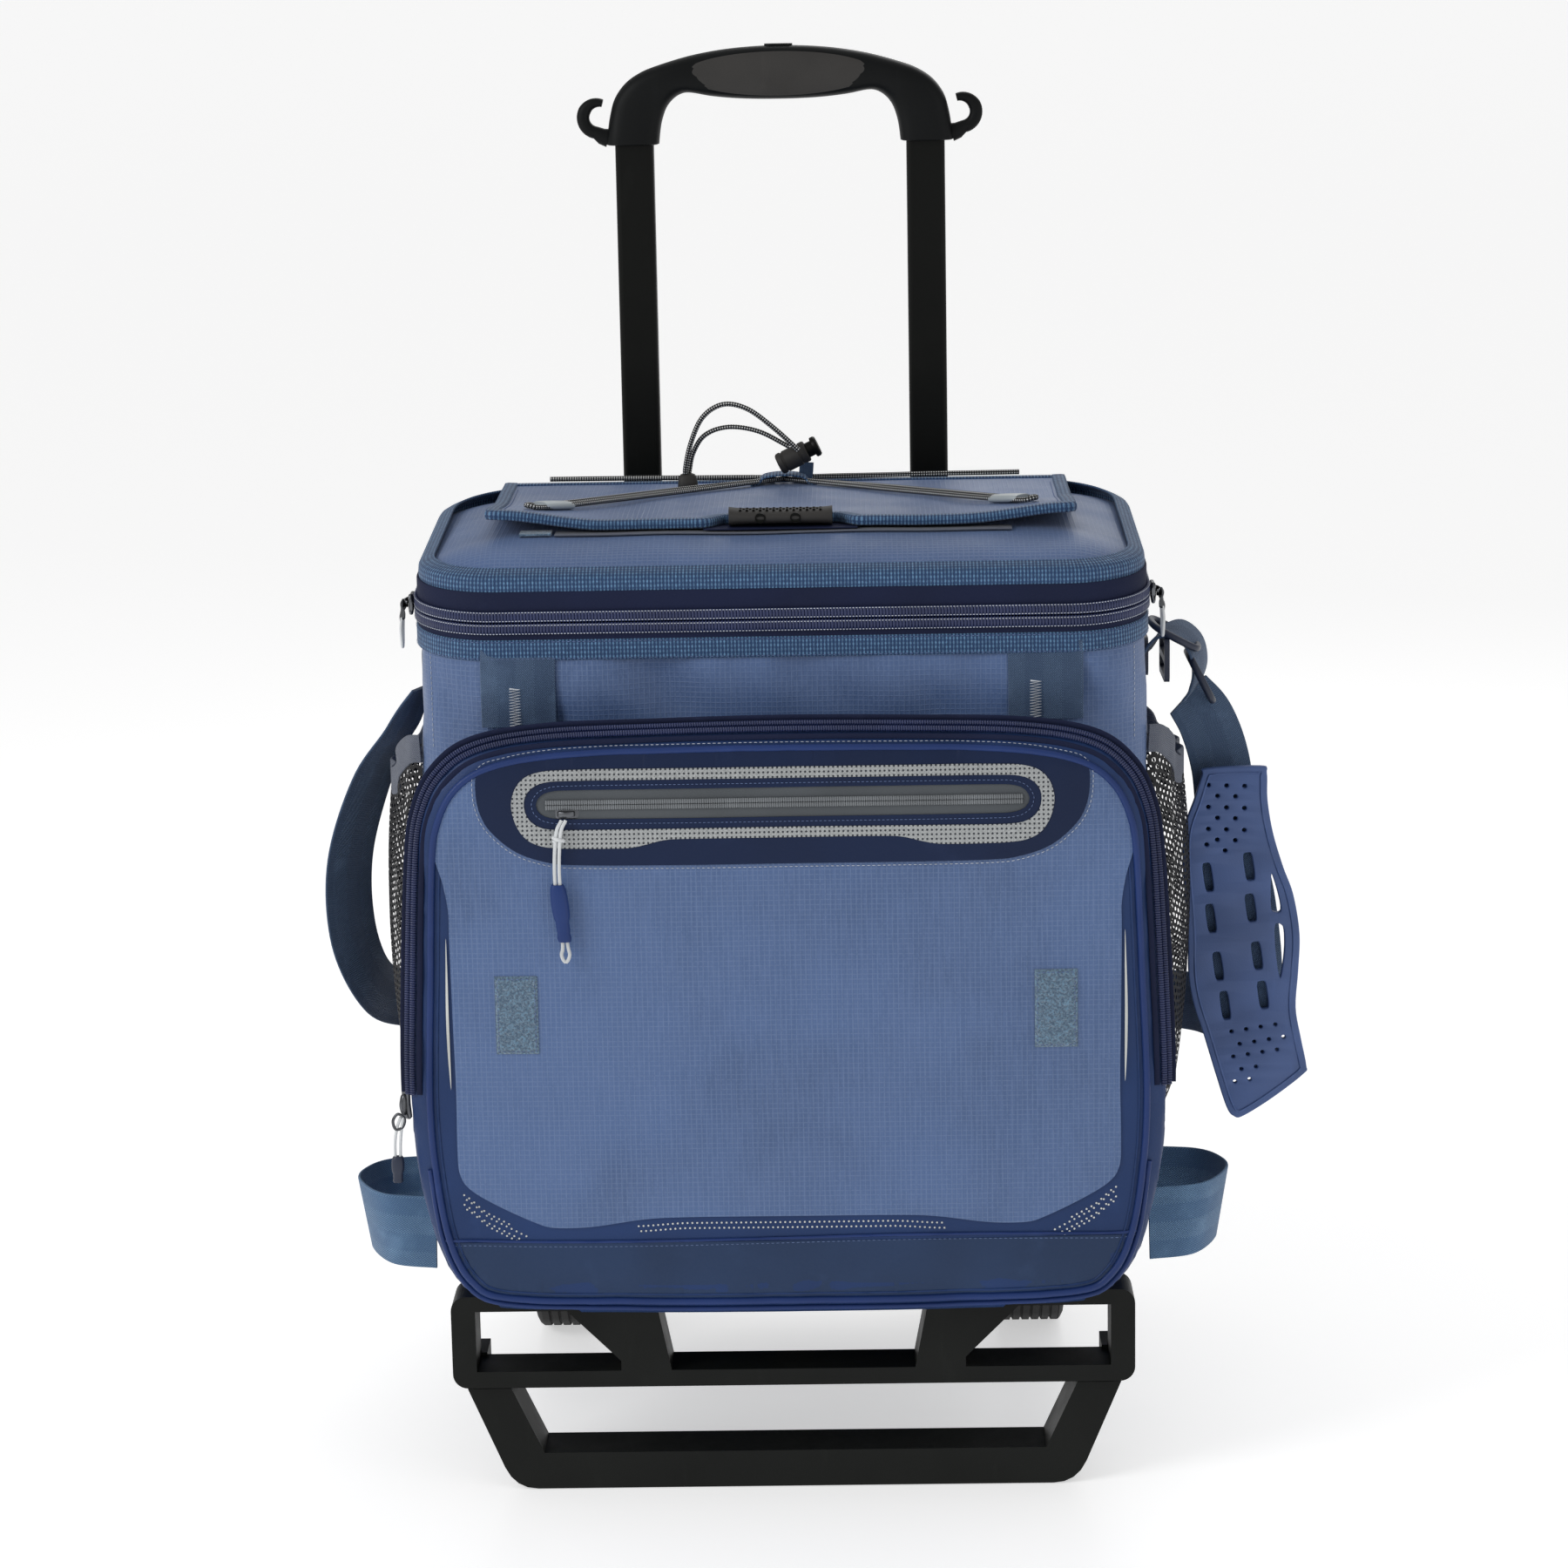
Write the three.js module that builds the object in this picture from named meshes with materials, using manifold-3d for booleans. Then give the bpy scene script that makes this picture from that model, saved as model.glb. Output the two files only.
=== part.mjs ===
// Soft-sided rolling cooler on a collapsible cart.
// Millimetres, +X to the user's right when facing the front, +Y towards the back, +Z up.
// Origin: the middle of the front foot's flat underside.
import * as THREE from 'three';
import { mergeVertices } from 'three/addons/utils/BufferGeometryUtils.js';
import Module from 'manifold-3d';

const wasm = await Module();
wasm.setup();

// ---------- driving dimensions ----------
const GAP = 0.3;
const roundSteps = 4;

// cart
const footHeight = 64.5;
const footHalfWidth = 198;
const footDepth = 34;
const frameFront = -24;
const frameBack = 8;
const frameBottom = 67.5;
const deckTop = 125.5;
const deckThickness = 13;
const deckHalfWidth = 190;
const deckBack = 261.7;
const hingeY = 24;
const hingeZ = 60;
const pinRadius = 3;
const axleY = 288;
const wheelRadius = 64;
const wheelX = 155;
const wheelWidth = 44;
const axleRadius = 5;

// telescopic handle
const tubeX = 93.5;
const tubeY = 291;
const innerTube = { width: 24.6, depth: 15, wall: 1.3, bottom: 392, top: 811 };
const outerTube = { width: 29, depth: 19.4, wall: 1.9, bottom: 78, top: 450 };
const gripBottom = 794;
const gripTop = 855;
const gripDepth = 26;
const gripLegInner = 77.3;
const gripLegOuter = 111.5;
const slotLow = 828.5;
const slotHigh = 835;
const hookX = 116.6;
const hookZ = 811;
const hookOuter = 13.4;
const hookInner = 5.8;

// bag
const bagHalfWidth = 216;
const bagBack = 258;
const bagBottom = 126;
const bagWall = 14;
const linerWall = 3;
const bagCorner = 48;
const seamFront = 533;
const seamSlope = 0.089;
const lidTopFront = 560;
const lidTopSlope = 0.07;
const lidBack = 246.6;
const tapeThickness = 2.4;
const pocketFront = -44;
const pocketHalfWidth = 222;
const pocketTop = 478;
const pocketBottom = 114;
const sidePocketOut = 250;
const flapHalfWidth = 172;
const flapFront = 58;
const flapBack = 240;
const flapBottom = 578.6;
const flapThickness = 5;
const cordRadius = 1.6;
const strapWidth = 38;
const strapThickness = 2.4;

// ---------- materials ----------
const finish = (color, roughness, metalness = 0) =>
  new THREE.MeshStandardMaterial({ color, roughness, metalness });
const ripstop = finish(0x606f9a, 0.55);
const navyFabric = finish(0x22345f, 0.6);
const webbing = finish(0x1f3e60, 0.8);
const meshFabric = finish(0x141416, 0.85);
const linerFoil = finish(0xc8ccd0, 0.35);
const cartPlastic = finish(0x222422, 0.45);
const gripPlastic = finish(0x28292a, 0.4);
const tubeMetal = finish(0x121210, 0.35, 0.6);
const steel = finish(0x9a9c9e, 0.3, 0.9);
const tyreRubber = finish(0x1b1b1b, 0.85);
const softRubber = finish(0x2a2826, 0.7);
const padRubber = finish(0x415380, 0.6);
const buckle = finish(0x232a3a, 0.45);
const sliderMetal = finish(0x55575a, 0.3, 0.9);
const pullCord = finish(0xc8cbcd, 0.7);
const bungee = finish(0x1a1a1a, 0.8);
const hookLoop = finish(0x466e91, 0.95);

// ---------- shape helpers ----------
const vec = (p) => new THREE.Vector3(...p);
const seamZ = (y) => seamFront + seamSlope * y;
const lidTopZ = (y) => lidTopFront + lidTopSlope * y;

function box(x, y, z) {
  const g = new THREE.BoxGeometry(x[1] - x[0], y[1] - y[0], z[1] - z[0]);
  return g.translate((x[0] + x[1]) / 2, (y[0] + y[1]) / 2, (z[0] + z[1]) / 2);
}

function roundedRect(x, y, r) {
  const into = new THREE.Shape();
  const [x0, x1] = x;
  const [y0, y1] = y;
  into.absarc(x1 - r, y0 + r, r, -Math.PI / 2, 0);
  into.absarc(x1 - r, y1 - r, r, 0, Math.PI / 2);
  into.absarc(x0 + r, y1 - r, r, Math.PI / 2, Math.PI);
  into.absarc(x0 + r, y0 + r, r, Math.PI, 1.5 * Math.PI);
  into.closePath();
  return into;
}

function polygon(points) {
  const into = new THREE.Shape();
  points.forEach(([a, b], i) => (i ? into.lineTo(a, b) : into.moveTo(a, b)));
  into.closePath();
  return into;
}

const mirrored = (points) => points.map(([a, b]) => [-a, b]).reverse();

function extruded(shape, range, curveSegments) {
  const depth = range[1] - range[0];
  return new THREE.ExtrudeGeometry(shape, { depth, bevelEnabled: false, curveSegments });
}

// A shape drawn in X and Y, pulled up from z[0] to z[1].
function pullZ(shape, z, segments = roundSteps) {
  return extruded(shape, z, segments).translate(0, 0, z[0]);
}

// A shape drawn in X and Z, pulled back from y[0] to y[1].
function pullY(shape, y, segments = roundSteps) {
  const g = extruded(shape, y, segments);
  return g.rotateX(Math.PI / 2).translate(0, y[1], 0);
}

// A shape drawn in Y and Z, pulled across from x[0] to x[1].
function pullX(shape, x, segments = roundSteps) {
  const g = extruded(shape, x, segments);
  const turn = new THREE.Matrix4().makeBasis(vec([0, 1, 0]), vec([0, 0, 1]), vec([1, 0, 0]));
  return g.applyMatrix4(turn).translate(x[0], 0, 0);
}

function rod(radius, x, y, z, sides = 16) {
  const g = new THREE.CylinderGeometry(radius, radius, x[1] - x[0], sides).rotateZ(Math.PI / 2);
  return g.translate((x[0] + x[1]) / 2, y, z);
}

// Moves the top and bottom faces of a prism to sloping heights.
function slope(geometry, low, high) {
  const p = geometry.attributes.position;
  const middle = (low(0) + high(0)) / 2;
  for (let i = 0; i < p.count; i++) {
    const at = p.getZ(i) > middle ? high : low;
    p.setZ(i, at(p.getY(i)));
  }
  return geometry;
}

// ---------- solids ----------
function solid(geometry) {
  const bare = geometry.index ? geometry.toNonIndexed() : geometry.clone();
  bare.deleteAttribute('normal');
  bare.deleteAttribute('uv');
  const merged = mergeVertices(bare, 1e-3);
  return new wasm.Manifold(new wasm.Mesh({
    numProp: 3,
    vertProperties: new Float32Array(merged.attributes.position.array),
    triVerts: new Uint32Array(merged.index.array),
  }));
}

const joined = (...parts) => parts.map(solid).reduce((a, b) => a.add(b));
const without = (whole, ...cuts) => cuts.reduce((a, b) => a.subtract(solid(b)), whole);

// A pulled outline with windows cut right through it.
function pierced(pull, outline, windows, range, segments = roundSteps) {
  const through = [range[0] - 1, range[1] + 1];
  return without(solid(pull(outline, range, segments)), ...windows.map((w) => pull(w, through, segments)));
}

function toGeometry(manifold) {
  const m = manifold.getMesh();
  const g = new THREE.BufferGeometry();
  g.setAttribute('position', new THREE.BufferAttribute(new Float32Array(m.vertProperties), 3));
  g.setIndex(new THREE.BufferAttribute(new Uint32Array(m.triVerts), 1));
  g.computeVertexNormals();
  return g;
}

const cooler = new THREE.Group();

function add(name, shape, material) {
  const geometry = shape.isBufferGeometry ? shape : toGeometry(shape);
  const mesh = new THREE.Mesh(geometry, material);
  mesh.name = name;
  cooler.add(mesh);
  return mesh;
}

const sides = [['left', -1], ['right', 1]];

// A flat strap: points down its middle, and at each of them the direction of its width.
function ribbon(points, across, width, thickness, steps) {
  const line = new THREE.CatmullRomCurve3(points.map(vec), false, 'centripetal');
  const turn = new THREE.CatmullRomCurve3(across.map(vec), false, 'centripetal');
  const position = [];
  for (let i = 0; i <= steps; i++) {
    const t = i / steps;
    const along = line.getTangent(t);
    const face = new THREE.Vector3().crossVectors(along, turn.getPoint(t)).normalize();
    const wide = new THREE.Vector3().crossVectors(face, along).normalize();
    for (const [a, b] of [[1, 1], [-1, 1], [-1, -1], [1, -1]]) {
      const corner = line.getPoint(t);
      corner.addScaledVector(wide, a * width / 2).addScaledVector(face, b * thickness / 2);
      position.push(corner.x, corner.y, corner.z);
    }
  }
  const index = [0, 2, 1, 0, 3, 2];
  for (let i = 0; i < steps; i++) {
    for (let k = 0; k < 4; k++) {
      const a = 4 * i + k;
      const b = 4 * i + (k + 1) % 4;
      index.push(a, b, b + 4, a, b + 4, a + 4);
    }
  }
  const end = 4 * steps;
  index.push(end, end + 1, end + 2, end, end + 2, end + 3);
  const g = new THREE.BufferGeometry();
  g.setAttribute('position', new THREE.Float32BufferAttribute(position, 3));
  g.setIndex(index);
  g.computeVertexNormals();
  return g;
}

// A round cord along a list of points.
function cord(points, radius, steps) {
  const section = new THREE.Shape();
  section.absarc(0, 0, radius, 0, 2 * Math.PI);
  const extrudePath = new THREE.CatmullRomCurve3(points.map(vec), false, 'centripetal');
  const settings = { steps, extrudePath, curveSegments: roundSteps, bevelEnabled: false };
  return new THREE.ExtrudeGeometry(section, settings);
}

// ---------- cart ----------
function frontFrame() {
  const outline = roundedRect([-206, 206], [frameBottom, deckTop], 9);
  const low = 77.8;
  const high = 116;
  const side = [[104, low], [191.4, low], [191.4, high], [136, high], [104, 84]];
  const middle = [[-73.5, low], [73.5, low], [81, high], [-81, high]];
  const windows = [middle, side, mirrored(side)].map(polygon);
  let body = pierced(pullY, outline, windows, [frameFront, frameBack]);
  for (const [, s] of sides) {
    const x = s > 0 ? [187.5, 195] : [-195, -187.5];
    const root = frameBack - 3;
    const lug = polygon([[root, 68.5], [18.5, 68.5], [18.5, hingeZ], [30, hingeZ], [30, 80], [root, 80]]);
    body = body.add(solid(pullX(lug, x))).add(solid(rod(6, x, hingeY, hingeZ, 20)));
  }
  return without(body, rod(pinRadius + GAP, [-200, 200], hingeY, hingeZ));
}

function deck() {
  const shape = polygon([
    [-deckHalfWidth, frameBack + GAP], [deckHalfWidth, frameBack + GAP], [deckHalfWidth, 150],
    [122, 196], [122, deckBack], [-122, deckBack], [-122, 196], [-deckHalfWidth, 150]]);
  const columns = [[-176, -104], [-92, -12], [12, 92], [104, 176]];
  const rows = [[26, 82], [94, 146]];
  const windows = rows.flatMap((y) => columns.map((x) => roundedRect(x, y, 8)));
  windows.push(roundedRect([-92, -12], [158, 238], 8), roundedRect([12, 92], [158, 238], 8));
  return pierced(pullZ, shape, windows, [deckTop - deckThickness, deckTop], 2);
}

function foot() {
  const shape = new THREE.Shape();
  shape.moveTo(-157, 0);
  shape.lineTo(157, 0);
  shape.quadraticCurveTo(171, 0, 177, 14);
  shape.lineTo(footHalfWidth, footHeight);
  shape.lineTo(171.5, footHeight);
  shape.lineTo(152.5, 23);
  shape.lineTo(-152.5, 23);
  shape.lineTo(-171.5, footHeight);
  shape.lineTo(-footHalfWidth, footHeight);
  shape.lineTo(-177, 14);
  shape.quadraticCurveTo(-171, 0, -157, 0);
  let body = solid(pullY(shape, [-footDepth / 2, footDepth / 2]));
  for (const [, s] of sides) {
    const x = s > 0 ? [173.5, 186] : [-186, -173.5];
    const ear = polygon([[10, 54], [hingeY, 54], [hingeY, 66], [10, 64]]);
    body = body.add(solid(pullX(ear, x))).add(solid(rod(6, x, hingeY, hingeZ, 20)));
  }
  return without(body, rod(pinRadius + GAP, [-200, 200], hingeY, hingeZ));
}

function base() {
  const beam = roundedRect([264, 304], [50, 84], 10);
  let body = solid(pullX(beam, [-127, 127]));
  body = body.add(solid(box([-100, 100], [262.3, 270], [60, deckTop])));
  for (const [, s] of sides) {
    const tower = roundedRect([s * tubeX - 18.5, s * tubeX + 18.5], [tubeY - 26, tubeY + 15], 6);
    body = body.add(solid(pullZ(tower, [56, 132])));
  }
  const bore = { width: outerTube.width + 2 * GAP, depth: outerTube.depth + 2 * GAP, range: [77.5, 140] };
  const bores = sides.map(([, s]) => tubeBlock(s, bore.width, bore.depth, bore.range));
  return without(body, rod(axleRadius + 0.2, [-140, 140], axleY, wheelRadius), ...bores);
}

const tubeBlock = (s, width, depth, z) =>
  box([s * tubeX - width / 2, s * tubeX + width / 2], [tubeY - depth / 2, tubeY + depth / 2], z);

function hollowTube(s, t) {
  const outer = roundedRect([-t.width / 2, t.width / 2], [-t.depth / 2, t.depth / 2], 3);
  const bore = [t.width / 2 - t.wall, t.depth / 2 - t.wall];
  const inner = roundedRect([-bore[0], bore[0]], [-bore[1], bore[1]], 1.5);
  return pierced(pullZ, outer, [inner], [t.bottom, t.top], 2).translate([s * tubeX, tubeY, 0]);
}

function collar(s) {
  const outer = roundedRect([-18, 18], [-13, 13], 5);
  const bore = [innerTube.width / 2 + GAP, innerTube.depth / 2 + GAP];
  const inner = roundedRect([-bore[0], bore[0]], [-bore[1], bore[1]], 2.5);
  const low = outerTube.top + GAP;
  return pierced(pullZ, outer, [inner], [low, low + 13], 2).translate([s * tubeX, tubeY, 0]);
}

function brace() {
  const plate = roundedRect([-112, 112], [268, 300], 8);
  const back = tubeY + outerTube.depth / 2 + GAP;
  return pullY(plate, [back, back + 6]);
}

// ---------- wheels ----------
function lathed(profile, sidesRound, s, holes = []) {
  const g = new THREE.LatheGeometry(profile.map(([r, x]) => new THREE.Vector2(r, x)), sidesRound);
  g.rotateZ(-Math.PI / 2);
  return without(solid(g), ...holes).translate([s * wheelX, axleY, wheelRadius]);
}

function tyre(s) {
  const h = wheelWidth / 2;
  const r = wheelRadius;
  const profile = [[50, -h + 2], [r - 5, -h], [r, -h + 6], [r, h - 6], [r - 5, h], [50, h - 2], [50, -h + 2]];
  return lathed(profile, 36, s);
}

function hub(s) {
  const bore = axleRadius + 0.35;
  const outline = [
    [bore, -19], [16, -19], [16, -6], [38, -6], [38, -17], [49.7, -17],
    [49.7, 17], [38, 17], [38, 6], [16, 6], [16, 19], [bore, 19], [bore, -19]];
  const windows = [];
  const spokes = 5;
  for (let i = 0; i < spokes; i++) {
    const g = new THREE.CylinderGeometry(7.5, 7.5, 30, 8).rotateZ(Math.PI / 2).translate(0, 27, 0);
    windows.push(g.rotateX((2 * Math.PI * i) / spokes));
  }
  return lathed(outline, 30, s, windows);
}

function hubCap(s) {
  const profile = [[0, 0], [15, 0], [15, 2.5], [9, 5.5], [0, 6]];
  const g = new THREE.LatheGeometry(profile.map(([r, x]) => new THREE.Vector2(r, x)), 24);
  g.rotateZ(-s * Math.PI / 2).translate(s * (wheelX + 22.4), axleY, wheelRadius);
  return g;
}

// ---------- telescopic handle ----------
function gripOutline() {
  const s = new THREE.Shape();
  s.moveTo(gripLegInner, gripBottom);
  s.lineTo(gripLegOuter, gripBottom);
  s.lineTo(gripLegOuter - 2, 808);
  s.bezierCurveTo(107.5, 828, 98, 837, 82, 842);
  s.bezierCurveTo(58, 850.5, 30, gripTop, 0, gripTop);
  s.bezierCurveTo(-30, gripTop, -58, 850.5, -82, 842);
  s.bezierCurveTo(-98, 837, -107.5, 828, -gripLegOuter + 2, 808);
  s.lineTo(-gripLegOuter, gripBottom);
  s.lineTo(-gripLegInner, gripBottom);
  s.bezierCurveTo(-76, 815, -70, 826, -56, 826);
  s.bezierCurveTo(-36, 819.5, 36, 819.5, 56, 826);
  s.bezierCurveTo(70, 826, 76, 815, gripLegInner, gripBottom);
  return s;
}

function gripShell(y) {
  const cuts = [
    box([-97, 97], [tubeY - 4.5, tubeY + 4.5], [slotLow, slotHigh]),
    box([-9.4, 9.4], [tubeY - 5.4, tubeY + 5.4], [slotLow, gripTop + 5]),
    box([-5.4, 5.4], [tubeY - 5.4, tubeY + 5.4], [824, slotLow + 1])];
  for (const [, s] of sides) {
    const socket = [gripBottom - 1, innerTube.top + GAP];
    cuts.push(tubeBlock(s, innerTube.width + 2 * GAP, innerTube.depth + 2 * GAP, socket));
    const rodWay = [tubeY - 3.5, tubeY + 3.5];
    cuts.push(box([s * 92 - 3.5, s * 92 + 3.5], rodWay, [innerTube.top - 1, slotLow + 1]));
  }
  return without(solid(pullY(gripOutline(), y, 6)), ...cuts);
}

function hook(s) {
  const shape = new THREE.Shape();
  const from = -75 * Math.PI / 180;
  const to = -285 * Math.PI / 180;
  shape.absarc(0, 0, hookOuter, from, to, true);
  shape.absarc(0, 0, hookInner, to, from, false);
  shape.closePath();
  let ring = solid(pullY(shape, [tubeY - 5, tubeY + 5], 14));
  ring = ring.add(solid(box([2, 5.5], [tubeY - 5, tubeY + 5], [-hookOuter - 2, -hookInner - 1])));
  const centred = ring.translate([-hookX, 0, hookZ]);
  const placed = s < 0 ? centred : centred.mirror([1, 0, 0]);
  const side = [
    [70, 780], [gripLegOuter + GAP, 780], [gripLegOuter + GAP, gripBottom],
    [gripLegOuter - 2 + GAP, 808], [105, 830], [70, 830]];
  return without(placed, pullY(polygon(s > 0 ? side : mirrored(side)), [tubeY - 20, tubeY + 20]));
}

function releaseYoke() {
  const parts = [box([-95, 95], [tubeY - 2.5, tubeY + 2.5], [831.5, 834.5])];
  for (const [, s] of sides) {
    const g = new THREE.CylinderGeometry(2.5, 2.5, 432, 8).rotateX(Math.PI / 2);
    parts.push(g.translate(s * 92, tubeY, 400 + 216));
  }
  return joined(...parts);
}

function releaseButton() {
  const shape = roundedRect([-9, 9], [tubeY - 5, tubeY + 5], 4);
  return pullZ(shape, [834.8, gripTop + 1]);
}

function buttonSpring() {
  const turns = 3;
  const points = [];
  for (let i = 0; i <= turns * 8; i++) {
    const a = (i / 8) * 2 * Math.PI;
    points.push([3.6 * Math.cos(a), tubeY + 3.6 * Math.sin(a), 825 + (i / (turns * 8)) * 5.8]);
  }
  return cord(points, 0.5, turns * 10);
}

// ---------- bag ----------
function plan(half, y0, y1, r) {
  return roundedRect([-half, half], [y0, y1], r);
}

function bagBody() {
  const footprint = plan(bagHalfWidth, 0, bagBack, bagCorner);
  const outer = slope(pullZ(footprint, [bagBottom, 500], 5), () => bagBottom, seamZ);
  const inside = plan(bagHalfWidth - bagWall, bagWall, bagBack - bagWall, bagCorner - 10);
  const hollow = pullZ(inside, [bagBottom + bagWall, 620], 5);
  const backEdge = box([-165, 165], [lidBack + 1, bagBack], [500, 575]);
  return solid(outer).subtract(solid(hollow)).add(solid(backEdge));
}

function bagLiner() {
  const out = bagWall + GAP;
  const inn = out + linerWall;
  const outer = plan(bagHalfWidth - out, out, bagBack - out, bagCorner - 10.3);
  const hollow = plan(bagHalfWidth - inn, inn, bagBack - inn, bagCorner - 13);
  const top = (y) => seamZ(y) - 3;
  const low = bagBottom + out;
  const whole = slope(pullZ(outer, [low, 500], 5), () => low, top);
  return without(solid(whole), pullZ(hollow, [low + linerWall, 620], 5));
}

// A band that runs round the front and both sides just outside the bag's walls.
function band(low, high) {
  const near = 0.4;
  const far = near + tapeThickness;
  const outer = plan(bagHalfWidth + far, -far, bagBack + 40, bagCorner);
  const inner = plan(bagHalfWidth + near, -near, bagBack + 60, bagCorner - tapeThickness);
  const ring = slope(pullZ(outer, [500, 560], 5), low, high);
  return without(solid(ring), pullZ(inner, [400, 700], 5), box([-300, 300], [212, 400], [400, 700]));
}

function lid() {
  const shape = roundedRect([-bagHalfWidth, bagHalfWidth], [0, lidBack], bagCorner);
  return slope(pullZ(shape, [seamFront, lidTopFront], 5), (y) => seamZ(y) + 0.6, lidTopZ);
}

function frontPocket() {
  const main = roundedRect([-pocketHalfWidth, pocketHalfWidth], [bagBottom + 1, pocketTop], 46);
  const lip = roundedRect([-pocketHalfWidth + 4, pocketHalfWidth - 4], [pocketBottom, 320], 46);
  return joined(pullY(main, [pocketFront, -0.5]), pullY(lip, [pocketFront, frameFront - 1]));
}

// An open-topped pouch on the bag's side.
function sidePocket(s) {
  const wall = 2.2;
  const near = bagHalfWidth + 0.6;
  const face = (out, y0, y1, low) => {
    const g = polygon([[near, y0], [out, y0 + 22], [out, y1 - 22], [near, y1]]);
    return pullZ(g, [low, 424]);
  };
  const outer = solid(face(sidePocketOut, 36, 222, 190));
  const hollow = face(sidePocketOut - wall, 36 + 5, 222 - 5, 190 + wall).translate(-1, 0, 1);
  const pouch = outer.subtract(solid(hollow)).add(solid(box([near, near + 1], [40, 218], [190, 420])));
  return s > 0 ? pouch : pouch.mirror([1, 0, 0]);
}

// A short webbing grab loop low on the bag's side.
function sideLoop(s) {
  const x = bagHalfWidth + 2;
  const points = [[x, 22, 152], [x + 34, 30, 153], [x + 48, 62, 154], [x + 34, 96, 153], [x, 106, 152]];
  const up = points.map(() => [0, 0, 1]);
  const placed = points.map(([a, b, c]) => [s * a, b, c]);
  return ribbon(placed, up, 46, 2.2, 14);
}

function frontStrap(s) {
  const z = [pocketTop + 1, 514.6];
  return box(s > 0 ? [133, 177] : [-177, -133], [-2.6, -0.5], z);
}

function patch(s) {
  return box([s * 158 - 12.5, s * 158 + 12.5], [pocketFront - 2, pocketFront - GAP], [284, 331]);
}

// The webbing that runs from the bag's back round both telescopic tubes.
function rearSleeve() {
  const outer = roundedRect([-122, 122], [bagBack + 0.6, 312], 10);
  const inner = roundedRect([-119.6, 119.6], [bagBack + 3, 309.6], 8);
  return pierced(pullZ, outer, [inner], [392, 440], 3);
}

const strapRoute = [
  [-227, 132, 470], [-238, 132, 448], [-258, 134, 416], [-276, 140, 362], [-278, 152, 310], [-268, 178, 268],
  [-254, 226, 246], [-224, 262, 236], [-160, 268, 228], [0, 269, 222], [160, 268, 226], [224, 262, 230],
  [262, 226, 236], [286, 180, 240], [294, 154, 262], [288, 148, 320], [274, 146, 372], [266, 142, 420],
  [245, 134, 452]];
const strapAcross = [
  [0, 1, 0], [0, 1, 0.1], [0.2, 1, 0.3], [0.3, 1, 0.2], [0.2, 1, 0.2], [0.2, 0.7, 0.8],
  [0, 0.3, 1], [0, 0, 1], [0, 0, 1], [0, 0, 1], [0, 0, 1], [0, 0, 1],
  [0, 0.3, 1], [0.3, 0.4, 0.8], [0.9, 0.3, 0.2], [1, 0.1, 0], [1, 0.1, 0.2], [0.5, 0.85, 0.2], [0.1, 1, 0.1]];

function shoulderPad() {
  const s = new THREE.Shape();
  s.moveTo(260, 404);
  s.lineTo(300, 408);
  s.bezierCurveTo(301, 350, 322, 330, 319, 275);
  s.lineTo(325, 214);
  s.lineTo(282, 184);
  s.bezierCurveTo(262, 250, 240, 310, 260, 404);
  return pullY(s, [126, 131]);
}

function ring(s) {
  const outer = roundedRect([-15, 15], [-12, 12], 5);
  const inner = roundedRect([-11, 11], [-8, 8], 3);
  return pierced(pullX, outer, [inner], [-2, 2], 2).translate([s * 222, 132, 485]);
}

function triGlide() {
  const outer = roundedRect([-22, 22], [-14, 14], 4);
  const slots = [[2, 10], [-10, -2]].map((z) => roundedRect([-18, 18], z, 2));
  return pierced(pullX, outer, slots, [-1.6, 1.6], 2).translate([235, 132, 484]);
}

// ---------- zips ----------
function lidSlider(s) {
  const x = bagHalfWidth + tapeThickness + 0.4 + GAP;
  const y = 52;
  const low = seamZ(y) - 7;
  const shape = roundedRect([y - 10, y + 10], [low, low + 14], 3);
  return pullX(shape, s > 0 ? [x, x + 5] : [-x - 5, -x]);
}

function smallSlider() {
  return box([-133, -117], [pocketFront - 7, pocketFront - GAP], [422, 434]);
}

function smallPull() {
  return box([-129, -121], [pocketFront - 13, pocketFront - 8], [346, 421]);
}

function pocketSlider() {
  return box([-231, -224], [pocketFront + 8, pocketFront + 20], [238, 262]);
}

// ---------- quick-access flap and its cord ----------
const cordZ = flapBottom + flapThickness + cordRadius + 0.4;

function flap() {
  const shape = polygon([
    [-flapHalfWidth, flapFront], [-48, flapFront], [-38, flapFront + 17],
    [38, flapFront + 17], [48, flapFront],
    [flapHalfWidth, flapFront], [flapHalfWidth + 4, flapBack], [-flapHalfWidth - 4, flapBack]]);
  return pullZ(shape, [flapBottom, flapBottom + flapThickness]);
}

function flapPull() {
  return pullZ(roundedRect([-31, 31], [flapFront - 8, flapFront + 16], 8), [flapBottom + 1, flapBottom + 9]);
}

function corded(s) {
  return [
    [s * 6, 214, cordZ], [s * 70, 160, cordZ], [s * 138, 92, cordZ], [s * 152, 84, cordZ],
    [s * 153, 94, cordZ], [s * 140, 106, cordZ], [s * 70, 172, cordZ], [s * 6, 220, cordZ]];
}

const bungeeRoute = [
  [-150, 233, cordZ], [-70, 230, cordZ], ...corded(-1).reverse(),
  ...corded(1), [70, 230, cordZ], [150, 233, cordZ]];

const lockRoute = [
  [10, 191, 607], [-6, 190, 622], [-22, 189, 634], [-37, 189, 637], [-50, 190, 629], [-58, 193, 612],
  [-62, 197, 594], [-60, 201, 592], [-57, 199, 605], [-49, 196, 617], [-34, 195, 622], [-15, 194, 619],
  [4, 194, 609]];

function cordTab() {
  return box([-16, 16], [flapBack - 44, flapBack - 8], [cordZ + cordRadius + GAP, cordZ + cordRadius + 2]);
}

const lockPlace = [6, 202.5, 601];
const lockTilt = 0.45;

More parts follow.
